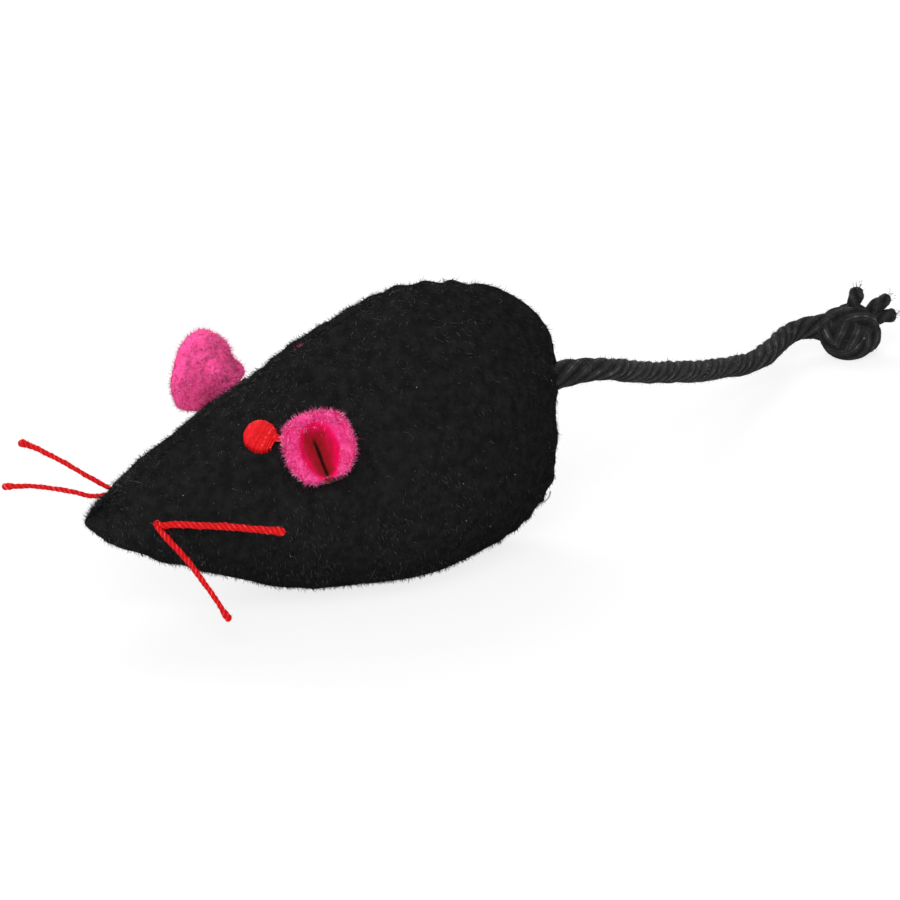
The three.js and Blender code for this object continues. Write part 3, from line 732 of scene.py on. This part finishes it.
def add_fibres(
        name, points, normals, material, lengths, width, scatter, lean=(0, 0, 0), curl=0.4, rise=1.0):
    """Fibres that rise from a surface, lean along it and scatter."""
    lean = np.asarray(lean, float)
    along = lean - normals * (normals @ lean)[:, None]
    ways = unit(rise * normals + along + scatter * draw.normal(size=points.shape))
    lift = np.sum(ways * normals, axis=1, keepdims=True)
    ways = unit(ways + normals * (np.maximum(lift, LEAST_LIFT) - lift))
    size = draw.uniform(*lengths, len(points))
    kept = (points + ways * size[:, None])[:, 2] > PILE_FLOOR
    corners, faces = fibre_shape((points - FIBRE_ROOT * normals)[kept], ways[kept], size[kept], width, curl)
    corners[:, 2] = np.maximum(corners[:, 2], 0)
    return add_mesh(name, corners, faces, material)


# Tail and knot
def add_tail():
    exit_point = np.array((REAR_X, 0, TAIL_HEIGHT))
    knot = np.array((REAR_X + KNOT_PLACE[0], KNOT_PLACE[1], KNOT_RADIUS - KNOT_FLAT_DEPTH))
    route = [np.array((REAR_X + back, y, z)) for back, y, z in TAIL_ROUTE]
    into = unit(knot - route[-1])
    straight = [exit_point + np.array((x, 0, 0)) for x in (-TAIL_INSIDE, -4, 0, 1.5, TAIL_STRAIGHT)]
    path = smooth_path([*straight, *route, knot - into * (KNOT_RADIUS - 1)], TAIL_STEP, TAIL_SOFTEN)
    run = lengths_along(path)
    flare_share = 1 - smoothstep(path[:, 0], REAR_X, REAR_X + TAIL_FLARE_RUN)
    flare = (TAIL_FLARE_RADIUS - TAIL_RADIUS) * flare_share
    swell = TAIL_KNOT_SWELL * smoothstep(run, run[-1] - TAIL_SWELL_RUN, run[-1])
    radii = (TAIL_RADIUS + flare + swell) * (1 + 0.03 * waves(path, 5, 8, 21))
    rings, crest = rope_rings(path, radii, seed=5, **TAIL_TWIST)
    crest = crest.reshape(len(path), TAIL_SIDES)
    split = int(np.searchsorted(path[:, 0], REAR_X + TAIL_STRAIGHT + 0.2))
    pieces = []
    for name, part in (("tail_base", slice(0, split + 1)), ("tail_rope", slice(split, len(path)))):
        points, faces = tube_shape(rings[part], path[part])
        made = add_mesh(name, points, faces, cord_yarn)
        mark_points(made, "crest", np.append(crest[part], (0.5, 0.5)))
        ends = 2 * TAIL_SIDES
        made.data.polygons.foreach_set("use_smooth", [True] * (len(faces) - ends) + [False] * ends)
        pieces.append(made)
    return *pieces, path[split:], knot


def knot_point(turn):
    reach = (KNOT_RADIUS - KNOT_STRAND_RADIUS) / 3 * (2 + np.cos(3 * turn))
    loop = np.stack([reach * np.cos(2 * turn), 0.95 * np.sin(3 * turn), reach * np.sin(2 * turn)], axis=-1)
    return loop * KNOT_STRETCH


def strand_end(tip):
    """The path of a strand end, from inside the knot to its tip."""
    bent = tip * 0.6 + 0.25 * unit(np.cross(tip, (0.3, 1, 0.2)))
    return smooth_path([tip * 0.1, bent, tip], 0.2)


def knot_heart():
    """The soft lump in the middle of the knot, as a cord shape."""
    slopes = np.linspace(0, math.pi, KNOT_HEART_STEPS)[1:-1, None]
    turns = circle(KNOT_HEART_STEPS)[None, :]
    around = np.sin(slopes)
    ball = np.stack([np.cos(slopes) + 0 * turns, around * np.cos(turns), around * np.sin(turns)], axis=-1)
    swell = 1 + 0.06 * waves(3 * ball, 3, 8, 35)
    rings = np.asarray(KNOT_HEART_PLACE) + ball * KNOT_HEART_RADII * swell[..., None]
    tips = np.array([(KNOT_HEART_RADII[0], 0, 0), (-KNOT_HEART_RADII[0], 0, 0)]) + KNOT_HEART_PLACE
    points, faces = tube_shape(rings, tips)
    return points, faces, np.full(len(points), 0.55)


def knot_cord(path, radius, seed):
    """A length of the cord that is tied in the knot."""
    radii = rounded_ends(path, radius * (1 + 0.05 * waves(path, 3, 8, seed)))
    return rope_shape(path, radii, seed=seed, **KNOT_TWIST)


def add_knot(centre):
    loop = even_path(knot_point(np.linspace(0, 2 * math.pi, 400)), TAIL_STEP)
    wrap = smooth_path(KNOT_WRAP, TAIL_STEP, KNOT_WRAP_SOFTEN)
    shapes = [knot_cord(loop, KNOT_STRAND_RADIUS, 31), knot_cord(wrap, KNOT_WRAP_RADIUS, 32), knot_heart()]
    for seed, tip in enumerate(np.array(STRAND_ENDS, float)):
        path = strand_end(tip)
        share = lengths_along(path) / lengths_along(path)[-1]
        swell = 0.95 + 0.2 * smoothstep(share, 0.7, 1) + 0.1 * waves(path, 2, 8, 33 + seed)
        radii = rounded_ends(path, STRAND_END_RADIUS * swell)
        shapes.append(rope_shape(path, radii, seed=seed, **STRAND_END_TWIST))
    made = add_ropes("tail_knot_loop", shapes, cord_yarn)
    points = mesh_points(made.data) + centre * MM
    points[:, 2] = np.maximum(points[:, 2], BELLY_CLEAR * MM)
    made.data.vertices.foreach_set("co", points.reshape(-1))
    return made


def add_frayed_ends(centre):
    """Loose fibres at the tips of the strand ends."""
    places, ways = [], []
    for tip in np.array(STRAND_ENDS, float):
        path = strand_end(tip)[-6:]
        near_tip = path[draw.integers(0, len(path), FRAY_COUNT)]
        places.append(near_tip + draw.normal(0, FRAY_SPREAD, (FRAY_COUNT, 3)))
        ways.append(np.tile(unit(path[-1] - path[0]), (FRAY_COUNT, 1)))
    roots = np.vstack(places) + centre
    return add_fibres("tail_frayed_ends", roots, np.vstack(ways), cord_fuzz, **FRAY_FIBRES)


tail_base, tail_rope, tail_path, knot_centre = add_tail()
tail_loop = add_knot(knot_centre)
tail_fuzz = []
for owner, count in zip((tail_base, tail_rope, tail_loop), TAIL_FUZZ_COUNTS):
    places, normals = surface_samples(owner, count)
    seen = places[:, 0] > REAR_X + CLEARANCE
    tail_fuzz.append(add_fibres(owner.name + "_fuzz", places[seen], normals[seen], cord_fuzz, **TAIL_FUZZ))
frayed_ends = add_frayed_ends(knot_centre)

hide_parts("tail_anchor", "tail_root")
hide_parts("tail_cord")
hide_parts("tail_knot")
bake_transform(tail_base)
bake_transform(tail_rope)
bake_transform(tail_fuzz[0])
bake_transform(tail_fuzz[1])
for piece in (tail_loop, tail_fuzz[2], frayed_ends):
    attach(piece, "tail")


# Body surface
def bezier(corners):
    share = np.linspace(0, 1, 240)[:, None]
    a, b, c, d = np.asarray(corners, float)
    return (1 - share)**3 * a + 3 * (1 - share)**2 * share * b + 3 * (1 - share) * share**2 * c + share**3 * d


def outline(nose, nose_run, nose_rise, crest_from_rear, crest, before, after, rear, rear_lead):
    crest_x = BODY_LENGTH - crest_from_rear
    front = bezier([(0, nose), (nose_run, nose + nose_rise), (crest_x - before, crest), (crest_x, crest)])
    behind = bezier([
        (crest_x, crest), (crest_x + after, crest), (BODY_LENGTH, rear + rear_lead), (BODY_LENGTH, rear)])
    return np.vstack([front, behind[1:]])


back_line = outline(
    nose=NOSE_HEIGHT, nose_run=3, nose_rise=3.1, crest_from_rear=HUMP_FROM_REAR, crest=BODY_HEIGHT,
    before=10.8, after=10.5, rear=REAR_SEAM_TOP, rear_lead=5.3)
belly_line = outline(
    nose=NOSE_HEIGHT, nose_run=0.5, nose_rise=-3.2, crest_from_rear=BELLY_FROM_REAR, crest=-BELLY_FLAT_DEPTH,
    before=12, after=11.5, rear=REAR_SEAM_BOTTOM, rear_lead=-5.8)
side_line = outline(
    nose=0, nose_run=3, nose_rise=6.2, crest_from_rear=WIDEST_FROM_REAR, crest=BODY_WIDTH / 2,
    before=6.8, after=10.2, rear=0, rear_lead=2.1)


def section(from_nose):
    """The middle height, the half height and the half width of the body."""
    lines = (back_line, belly_line, side_line)
    top, bottom, half = (np.interp(from_nose, line[:, 0], line[:, 1]) for line in lines)
    return (top + bottom) / 2, (top - bottom) / 2, half


def spread(high):
    """Share of the half width, from the belly at -1 to the back at 1: an oval drawn in to a ridge."""
    return np.sqrt(1 - high**2) ** np.where(high > 0, RIDGE_POWER, 1)


def body_point(from_nose, angle):
    """A point on the body: angle 0 is the left side, 90 the back, 180 the right side."""
    middle, rise, half = section(from_nose)
    turn = np.radians(angle)
    high = np.clip(np.sin(turn), -1, 1)
    y = -np.sign(np.cos(turn)) * spread(high) * half
    return np.stack([NOSE_X + from_nose + 0 * turn, y, middle + high * rise], axis=-1)


def body_normal(from_nose, angle):
    step = 0.5
    along = body_point(from_nose + step, angle) - body_point(from_nose - step, angle)
    around = body_point(from_nose, angle + step) - body_point(from_nose, angle - step)
    return unit(np.cross(along, around))


def dents():
    """The places where something is sewn through the plush, with their depths and reaches."""
    places = []
    for settings in EAR_SET.values():
        seat = body_point(settings["from_nose"], settings["angle"])
        places.append((seat, -settings["mound"], EAR_MOUND_REACH))
    for settings in EYE_SET.values():
        side = settings["side"]
        places.append((body_point(settings["from_nose"], settings["angle"]), *EYE_DENT))
        places.append(((whisker_root(side, 1) + whisker_root(side, -1)) / 2, *WHISKER_DENT))
    for pucker in PUCKER_PLACES:
        places.append((body_point(*pucker), *PUCKER_DENT))
    return places


def whisker_root(side, level):
    middle, rise, half = section(WHISKER_FROM_NOSE)
    z = WHISKER_HEIGHT + level * WHISKER_SPACING / 2
    return np.array((NOSE_X + WHISKER_FROM_NOSE, side * half * spread((z - middle) / rise), z))


def panel_surface(side):
    """The panel's smooth surface and its normals, from nose to rear and from belly seam to back."""
    share = (1 - np.cos(np.pi * np.arange(PANEL_STATIONS + 1) / PANEL_STATIONS)) / 2
    from_nose = (share * BODY_LENGTH)[:, None]
    angle = np.linspace(-90, 90, PANEL_RING + 1)[None, :]
    points = body_point(from_nose, angle)
    normals = unit(np.cross(np.gradient(points, axis=0), np.gradient(points, axis=1)))
    normals[0] = (-1, 0, 0)
    mirror = np.array((1, -side, 1))
    return points * mirror, normals * mirror


def panel_height(points):
    """How far the plush stands out from the smooth surface."""
    off_seam = np.abs(points[..., 1])
    behind_nose = np.clip((points[..., 0] - NOSE_X) / SEAM_FADE, 0, 1)
    groove = SEAM_GROOVE * behind_nose * np.exp(-((off_seam / SEAM_GROOVE_WIDTH) ** 2))
    along = points[..., 0] + PUCKER_SLANT * points[..., 2]
    phase = 2 * np.pi * along / PUCKER_LENGTH + PUCKER_WANDER * waves(points, 14, 6, 3)
    near_seam = np.exp(-((off_seam / PUCKER_REACH) ** 2)) * behind_nose
    height = PUCKER_HEIGHT * np.sin(phase) * near_seam - groove
    height += LUMP_HEIGHT * waves(points, LUMP_LENGTH, 12, 4) + NUB_HEIGHT * waves(points, NUB_LENGTH, 24, 5)
    for centre, depth, reach in dents():
        height -= depth * np.exp(-(np.linalg.norm(points - centre, axis=-1) / reach) ** 2)
    return height


def add_panel(name, side):
    smooth, normals = panel_surface(side)
    outer = smooth + normals * panel_height(smooth)[..., None]
    rise, half = section(smooth[:, :1, 0] - NOSE_X)[1:]
    thickness = np.minimum(PANEL_THICKNESS, 0.5 * np.minimum(rise, half))
    inner = smooth - normals * thickness[..., None]
    inner[-1] = inner[-2]
    for grid in (outer, inner):
        grid[..., 1] = side * np.maximum(side * grid[..., 1], SEAM_GAP)
    outer[..., 2] = np.maximum(outer[..., 2], BELLY_CLEAR)
    inner[..., 2] = np.maximum(inner[..., 2], PANEL_THICKNESS / 2)
    outer[0] = outer[0].mean(axis=0)
    inner[0] = inner[0].mean(axis=0)
    rows, columns = outer.shape[:2]
    corner = np.arange(rows * columns).reshape(rows, columns)
    quads = np.stack([corner[:-1, :-1], corner[1:, :-1], corner[1:, 1:], corner[:-1, 1:]], axis=-1)
    quads = quads.reshape(-1, 4)
    edge = np.concatenate([corner[:-1, 0], corner[-1, :-1], corner[:0:-1, -1], corner[0, :0:-1]])
    ahead = np.roll(edge, -1)
    inside = rows * columns
    walls = np.stack([ahead, edge, edge + inside, ahead + inside], axis=-1)
    faces = np.vstack([quads, quads[:, ::-1] + inside, walls])
    if side > 0:
        faces = faces[:, ::-1]
    made = add_mesh(name, np.vstack([outer.reshape(-1, 3), inner.reshape(-1, 3)]), faces.tolist(), plush)
    return made, len(quads)


def add_lint(name, panel, outside):
    """Bent threads and specks of lint caught in the pile."""
    places, normals = surface_samples(panel, LINT_CURLS + LINT_SPECKS, outside)
    shapes = []
    for k, (place, normal) in enumerate(zip(places, normals)):
        beside = unit(np.cross(normal, draw.normal(size=3)))
        other = np.cross(normal, beside)
        seat = place + LINT_LIFT * normal
        if k < LINT_CURLS:
            turn = draw.uniform(*LINT_TURN)
            angles = np.linspace(0, turn, 7)[:, None]
            size = draw.uniform(*LINT_REACH) / max(turn, 1)
            points = seat + size * (np.sin(angles) * beside + (1 - np.cos(angles)) * other)
            radius, step, sides = draw.uniform(*LINT_RADIUS), 0.15, 5
        else:
            radius = draw.uniform(*SPECK_RADIUS)
            points = seat + np.linspace(-radius, radius, 3)[:, None] * beside
            step, sides = radius / 2, 6
        points[:, 2] = np.maximum(points[:, 2], PILE_FLOOR)
        shapes.append(thread_shape(points, radius, step, groove=0, sides=sides)[:2])
    return add_mesh(name, *joined(shapes), lint)


def stray_share(places):
    """Share of the stray fibres kept: most along the back seam and the muzzle, fewest at the rear."""
    ridge = np.exp(-((places[:, 1] / 4) ** 2)) * smoothstep(places[:, 2], 10, 16)
    muzzle = 1 - smoothstep(places[:, 0], NOSE_X, NOSE_X + 14)
    rear = smoothstep(places[:, 0], REAR_X - 20, REAR_X)
    return STRAY_LEAST + (1 - STRAY_LEAST) * np.maximum(ridge, muzzle) - STRAY_REAR_LOSS * rear


def off_puckers(places):
    """Whether each place is clear of the puckers."""
    away = [np.linalg.norm(places - body_point(*pucker), axis=1) > PUCKER_CLEAR for pucker in PUCKER_PLACES]
    return np.all(away, axis=0)


for name, settings in EAR_SET.items():
    panel, outside = add_panel(f"{name}_plush", settings["side"])
    places, normals = surface_samples(panel, PILE_COUNT, outside)
    clear = off_puckers(places)
    short = add_fibres(f"{name}_pile", places[clear], normals[clear], pile, **PILE_FIBRES)
    places, normals = surface_samples(panel, STRAY_COUNT, outside)
    kept = (draw.random(STRAY_COUNT) < stray_share(places)) & off_puckers(places)
    stray = add_fibres(f"{name}_stray_fibres", places[kept], normals[kept], stray_pile, **STRAY_FIBRES)
    bits = add_lint(f"{name}_lint", panel, outside)
    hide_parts(f"{name}_side_panel")
    dress("body", "plush", panel, short, stray, bits)


# Ears
def ear_frame(settings):
    """The ear's hinge point, its axes across, up and out of its face, and the plush's normal and distance."""
    side, angle = settings["side"], settings["angle"]
    normal = body_normal(settings["from_nose"], angle)
    turn, tilt = math.radians(settings["turn"]), math.radians(settings["tilt"])
    level = math.cos(tilt)
    facing = Vector((-math.sin(turn) * level, side * math.cos(turn) * level, math.sin(tilt)))
    upright = Vector((0, 0, 1)) - facing * facing.z
    upright = Quaternion(facing, -side * math.radians(settings["lean"])) @ upright.normalized()
    across = np.array(upright.cross(facing))
    lift = EAR_ROOT_RADIUS + CLEARANCE + abs(across @ normal) * EAR_ROOT_LENGTH / 2
    pivot = body_point(settings["from_nose"], angle) + normal * lift
    return pivot, across, np.array(upright), np.array(facing), normal, lift


def ear_outline(angle):
    """How far the rounded square reaches at an angle, as a share of its half width."""
    power = EAR_SQUARENESS
    return (np.abs(np.sin(angle)) ** power + np.abs(np.cos(angle)) ** power) ** (-1 / power)


def ear_heights(x, y, radius):
    """Heights of the felt's face and back, and how deep in the ear a point of the face lies, from 0 to 1,
    which sets its painted shade.
    """
    off = np.minimum((x**2 + (y - radius) ** 2) / radius**2, EAR_CUP_REACH)
    pinch = np.exp(-((x / EAR_FOLD_WIDTH) ** 2)) * (1 - smoothstep(y, 0, EAR_FOLD_LENGTH))
    from_bowl = np.hypot(x, (y - radius + EAR_BOWL_LOWER) / EAR_BOWL_STRETCH)
    bowl = 1 - smoothstep(from_bowl, *(edge * radius for edge in EAR_BOWL_EDGE))
    wall = 1 - smoothstep(from_bowl, *(edge * radius for edge in EAR_WALL_EDGE))
    narrow, wide = EAR_LEAF_WIDTH
    leaf_width = narrow + (wide - narrow) * smoothstep(y, *EAR_LEAF_WIDENS)
    sloped = x + EAR_SLIT_SLOPE * (y - 1)
    leaf = np.exp(-(np.abs(sloped / leaf_width) ** 2.2)) * (1 - smoothstep(y, *EAR_LEAF_ENDS))
    slit = np.exp(-((sloped / EAR_SLIT_WIDTH) ** 2)) * (1 - smoothstep(y, *EAR_SLIT_ENDS))
    face = EAR_FOLD_DEPTH + EAR_THICKNESS / 2 + EAR_FACE_CUP * EAR_CUP * (off - 1)
    face -= EAR_BOWL_DEPTH * bowl + EAR_LEAF_DEPTH * leaf + EAR_SLIT_DEPTH * slit
    back = EAR_FOLD_DEPTH * (1 - EAR_PINCH * pinch) + EAR_CUP * (off - 1) - EAR_THICKNESS / 2
    # Painted shade: darker deeper in the ear, in the wall, the leaf and the slit.
    depth = EAR_TONE_AND_PAINTED_SHADE["wall"] * wall + EAR_TONE_AND_PAINTED_SHADE["leaf"] * leaf + EAR_TONE_AND_PAINTED_SHADE["slit"] * slit
    return face, np.minimum(back, face - EAR_LEAST_THICKNESS), depth


def ear_shape(radius, lobes, seed):
    half = EAR_THICKNESS / 2
    inner = np.linspace(0, 1, EAR_RINGS)[1:] * (radius - half)
    rim = np.radians(np.linspace(90, -90, EAR_RIM_STEPS)[1:-1])
    reach = np.concatenate([inner, radius - half + half * np.cos(rim), inner[::-1]])
    towards_face = np.concatenate([np.ones(len(inner)), np.sin(rim), -np.ones(len(inner))])[:, None]
    angle = circle(EAR_SEGMENTS)
    uneven = 1 + 0.015 * np.sin(3 * angle + seed) + 0.012 * np.sin(7 * angle + 2 * seed)
    from_root = np.degrees((angle + math.pi) % (2 * math.pi) - math.pi)
    for place, amount, reach_round in [(0, -EAR_NOTCH, EAR_NOTCH_SPREAD), *lobes]:
        uneven += amount * np.exp(-(((from_root - place) / reach_round) ** 2))
    spans = reach[:, None] * (uneven * ear_outline(angle))[None, :]
    x = spans * np.sin(angle)
    y = radius - spans * np.cos(angle)
    face, back, depth = ear_heights(x, y, radius)
    flat = np.stack([x, y, face], axis=-1)
    ripple = 0.05 * waves(flat, 1.3, 20, seed) + 0.1 * waves(flat, 4, 10, seed + 1)
    z = (face + back) / 2 + towards_face * (face - back) / 2 + ripple
    # The back and rim take the brightest stop as painted light; the face takes at least the lip's own tone,
    # with painted shade deeper in.
    shade = np.where(towards_face > 0.3, np.maximum(depth, EAR_TONE_AND_PAINTED_SHADE["lip"]), 0)
    pole_face, pole_back, pole_depth = ear_heights(np.zeros(1), np.full(1, radius), radius)
    poles = np.array([(0, radius, pole_face[0]), (0, radius, pole_back[0])])
    points, faces = tube_shape(np.stack([x, y, z], axis=-1), poles)
    shades = np.concatenate([shade.reshape(-1), pole_depth, [0]])
    return points, [face[::-1] for face in faces], shades


def add_ear(name, settings, seed):
    pivot, across, upright, facing, normal, lift = ear_frame(settings)
    radius = settings["radius"]
    points, faces, shades = ear_shape(radius, settings["lobes"], seed)
    leaf_faces = len(faces)
    points = (points - (0, radius, 0)) * EAR_SEEN + (0, radius + EAR_RAISED, 0)
    ends = [(-EAR_ROOT_HALF_SEEN, EAR_ROOT_RAISED, 0), (EAR_ROOT_HALF_SEEN, EAR_ROOT_RAISED, 0)]
    path = even_path(np.array(ends), 0.15)
    root_radii = rounded_ends(path, np.full(len(path), EAR_ROOT_SEEN))
    root = rope_shape(path, root_radii, strands=1, groove=0, lay=10, sides=24)
    points, faces = joined([(points, faces), root[:2]])
    # The root takes a dark stop as a painted shadow.
    shades = np.concatenate([shades, np.full(len(root[0]), EAR_TONE_AND_PAINTED_SHADE["root"])])
    placed = pivot + points @ np.stack([across, upright, facing])
    made = add_mesh(f"{name}_felt_ear", placed, faces, felt)
    mark_points(made, "felt_tone_and_painted_light", shades)
    places, normals = surface_samples(made, EAR_FUZZ_COUNT, leaf_faces)
    x, y = (places - pivot) @ across, (places - pivot) @ upright - radius
    share = np.hypot(x, y) / (radius * ear_outline(np.arctan2(x, -y)))
    behind = normals @ facing < 0
    in_slit = (np.abs(x) < EAR_LEAF_CLEAR) & (y < 0)
    on_lip = (share > draw.uniform(0.5, 0.85, len(places))) & ~in_slit & ~behind
    pieces = [made]
    # The fuzz on the ears' backs takes lighter colours as painted light.
    for label, shown, material in (("fuzz", on_lip, felt_fuzz), ("back_fuzz", behind, back_fuzz_painted_light)):
        pieces.append(add_fibres(
            f"{name}_ear_{label}", places[shown], normals[shown], material, **EAR_FUZZ))
    rim = np.flatnonzero(share > 0.8)[:EAR_STRAY_COUNT]
    pieces.append(add_fibres(f"{name}_ear_strays", places[rim], normals[rim], felt_fuzz, **EAR_STRAYS))
    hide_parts(f"{name}_ear")
    dress(f"{name}_ear", "felt", *pieces)
    half = TACK_SPAN / 2
    depth = lift + PANEL_THICKNESS + TACK_TAIL
    straight = EAR_ROOT_HALF_SEEN + CLEARANCE
    route = [(-half, depth), (-half, 0.6), (-straight, 0), (straight, 0), (half, 0.6), (half, depth)]
    tack_points = [pivot + across * x - normal * down for x, down in route]
    tack = add_mesh(f"{name}_ear_stitch", *thread_shape(tack_points, TACK_RADIUS)[:2], black_thread)
    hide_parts(f"{name}_ear_tack")
    dress("body", "sewing_thread", tack)


for seed, (name, settings) in enumerate(EAR_SET.items()):
    add_ear(name, settings, 40 + 3 * seed)


# Eyes
def eye_stitch(points, radius):
    return thread_shape(points, radius, EYE_STITCH_STEP, groove=0, sides=EYE_STITCH_SIDES)[:2]


def add_eye(name, settings):
    side, from_nose, angle = settings["side"], settings["from_nose"], settings["angle"]
    normal = body_normal(from_nose, angle)
    along = unit(np.array((1.0, 0, 0)) - normal * normal[0])
    rising = np.cross(normal, along) * -side
    seat = body_point(from_nose, angle)
    slant = math.radians(EYE_STITCH_SLANT)
    stitch = along * math.cos(slant) + rising * math.sin(slant)
    beside = np.cross(normal, stitch)
    stitches = []
    for place in np.linspace(-1, 1, EYE_STITCHES) * (EYE_RADIUS - EYE_STITCH_RADIUS):
        reach = math.sqrt(EYE_RADIUS**2 - place**2) * draw.uniform(0.95, 1.06)
        points = []
        for share in EYE_STITCH_SHARES:
            off = (place**2 + (share * reach) ** 2) / EYE_RADIUS**2
            height = EYE_RISE * math.sqrt(max(0, 1 - off)) if abs(share) < 1 else EYE_STITCH_END
            points.append(seat + stitch * share * reach + beside * place + normal * height)
        stitches.append(eye_stitch(points, EYE_STITCH_RADIUS * draw.uniform(0.9, 1.1)))
    tip = along * EYE_POINT[0] + rising * EYE_POINT[1]
    for fan in np.linspace(-EYE_POINT_SPREAD, EYE_POINT_SPREAD, EYE_POINT_STITCHES):
        points = [
            seat + along * 1.0 + rising * (fan - 0.45) + normal * 0.6,
            seat + tip * 0.78 + rising * fan * 0.5 + normal * 0.35,
            seat + tip + rising * fan * 0.25 - normal * 0.05,
            seat + tip - normal * 0.7,
        ]
        stitches.append(eye_stitch(points, EYE_STITCH_RADIUS))
    shapes = []
    for points, faces in stitches:
        shapes.append((points, faces, np.full(len(points), draw.uniform(*EYE_STITCH_SHADE))))
    turns = circle(EYE_DOME_SIDES)
    round_way = np.cos(turns)[:, None] * along + np.sin(turns)[:, None] * np.cross(normal, along)
    rings = np.array([seat + normal * height + round_way * share * EYE_RADIUS for share, height in EYE_DOME])
    dome = tube_shape(rings, [seat - normal * PANEL_THICKNESS, seat + normal * EYE_DOME_TOP])
    shapes.append((*dome, np.full(len(dome[0]), EYE_DOME_SHADE)))
    made = add_ropes(f"{name}_stitched_eye", shapes, eye_thread)
    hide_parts(f"{name}_eye")
    dress("body", "red_thread", made)


for name, settings in EYE_SET.items():
    add_eye(name, settings)


# Whiskers
def add_whisker(name, arm, seed):
    side, radius = arm["side"], WHISKER_RADIUS * arm["size"]
    outward = body_normal(WHISKER_FROM_NOSE, 0 if side < 0 else 180)
    root = whisker_root(side, arm["level"]) + outward * (WHISKER_RADIUS + CLEARANCE)
    upper, lower = whisker_root(side, 1), whisker_root(side, -1)
    hole = lower + arm["hole"] * (upper - lower)
    end = root + arm["end"]
    root += arm["from_hole"] * (hole - whisker_root(side, arm["level"]))
    reach = end - root
    shares = np.linspace(0.16, 1, 10)[:, None]
    line = root + shares * reach + arm["bow"] * 4 * shares * (1 - shares) * np.array((0, 0, 1))
    sway = 0.2 * np.sin(7 * shares + seed) + 0.1 * np.sin(17 * shares + 2 * seed)
    line += shares * sway * np.cross(unit(reach), (0, 0, 1))
    start = [hole - outward, hole + 0.15 * outward + 0.25 * unit(reach)]
    path = smooth_path([*start, *line], WHISKER_STEP, WHISKER_SOFTEN)
    share = lengths_along(path) / lengths_along(path)[-1]
    swell = arm["root"] + (arm["tip"] - arm["root"]) * share
    swell += (arm["bulb"] - 1) * smoothstep(share, *WHISKER_BULB)
    radii = rounded_ends(path, radius * swell * (1 + 0.06 * waves(path, 2.2, 8, seed)))
    shape = rope_shape(path, radii, wander=WHISKER_WANDER, seed=seed, **WHISKER_TWIST)
    made = add_ropes(f"{name}_thread", [shape], red_thread)
    places, normals = surface_samples(made, WHISKER_FUZZ_COUNT)
    fuzz = add_fibres(f"{name}_fuzz", places, normals, red_fuzz, **WHISKER_FUZZ)
    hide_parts(name)
    dress(name, "red_thread", made, fuzz)


for seed, (name, arm) in enumerate(WHISKER_ARMS.items()):
    add_whisker(name, arm, seed + 1)
for name, level in (("upper", 1), ("lower", -1)):
    inset = np.array((0, WHISKER_INSET, 0))
    run = [whisker_root(-1, level) + inset, whisker_root(1, level) - inset]
    shape = thread_shape(run, WHISKER_RADIUS, **WHISKER_TWIST)
    inside = add_ropes(f"{name}_whisker_run", [shape], red_thread)
    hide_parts(f"{name}_whisker_thread")
    dress("body", "red_thread", inside)


# Loose bits: fibres on the nose, a pink fleck on the back and a pale thread end at the rear corner
def add_nose_fibres(name, count, material, from_nose_range, angle_range, **settings):
    """Fibres strewn over a part of the nose."""
    from_nose = draw.uniform(*from_nose_range, count)
    angle = draw.uniform(*angle_range, count)
    places, normals = body_point(from_nose, angle), body_normal(from_nose, angle)
    dress("body", "plush", add_fibres(name, places, normals, material, **settings))


add_nose_fibres(
    "nose_tuft", TUFT_COUNT, stray_pile, from_nose_range=(1.5, 6), angle_range=(60, 140),
    lengths=(0.5, 1.5), width=0.016, scatter=0.9, curl=0.9, rise=0.7)
add_nose_fibres(
    "nose_pile", NOSE_PILE_COUNT, pile, from_nose_range=(0.5, 3.2), angle_range=(35, 150),
    lengths=(0.4, 0.85), width=0.03, lean=(0, 0, 0.3), scatter=0.8, curl=0.6, rise=0.7)
fleck_places = body_point(*PINK_FLECK) + draw.normal(0, FLECK_SPREAD, (FLECK_COUNT, 3))
fleck_normals = np.tile(body_normal(*PINK_FLECK), (FLECK_COUNT, 1))
fleck = add_fibres(
    "pink_fleck", fleck_places, fleck_normals, felt_fuzz, lengths=(0.3, 0.7), width=0.02, scatter=0.9)
dress("body", "felt", fleck)
thread_line = body_point(*THREAD_CORNER) + np.array(THREAD_LINE) + THREAD_LIFT * body_normal(*THREAD_CORNER)
thread_end = thread_shape(thread_line, THREAD_RADIUS, sides=8)[:2]
dress("body", "sewing_thread", add_mesh("loose_thread_end", *thread_end, pale_thread))


# Filling, out of sight in the body
def add_filling(name, node, material, slot_name):
    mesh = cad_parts[node].data.copy()
    mesh.materials.clear()
    mesh.materials.append(material)
    made = add_object(name, mesh)
    points = mesh_points(mesh) / MM
    centre = points.mean(axis=0)
    drawn_in = FILLING_ROUGHNESS * (1 + waves(points, 5, 12, 51)) / 2
    points -= unit(points - centre) * np.clip(drawn_in, 0, None)[:, None]
    mesh.vertices.foreach_set("co", (points * MM).reshape(-1))
    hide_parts(node)
    dress("body", slot_name, made)


add_filling("stuffing_fluff", "fibre_stuffing", fluff, "filling")
add_filling("catnip_lump", "catnip_filling", herb, "catnip")
for node in ("back_seam_thread", "belly_seam_thread"):
    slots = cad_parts[node].data.materials
    slots.clear()
    slots.append(black_thread)
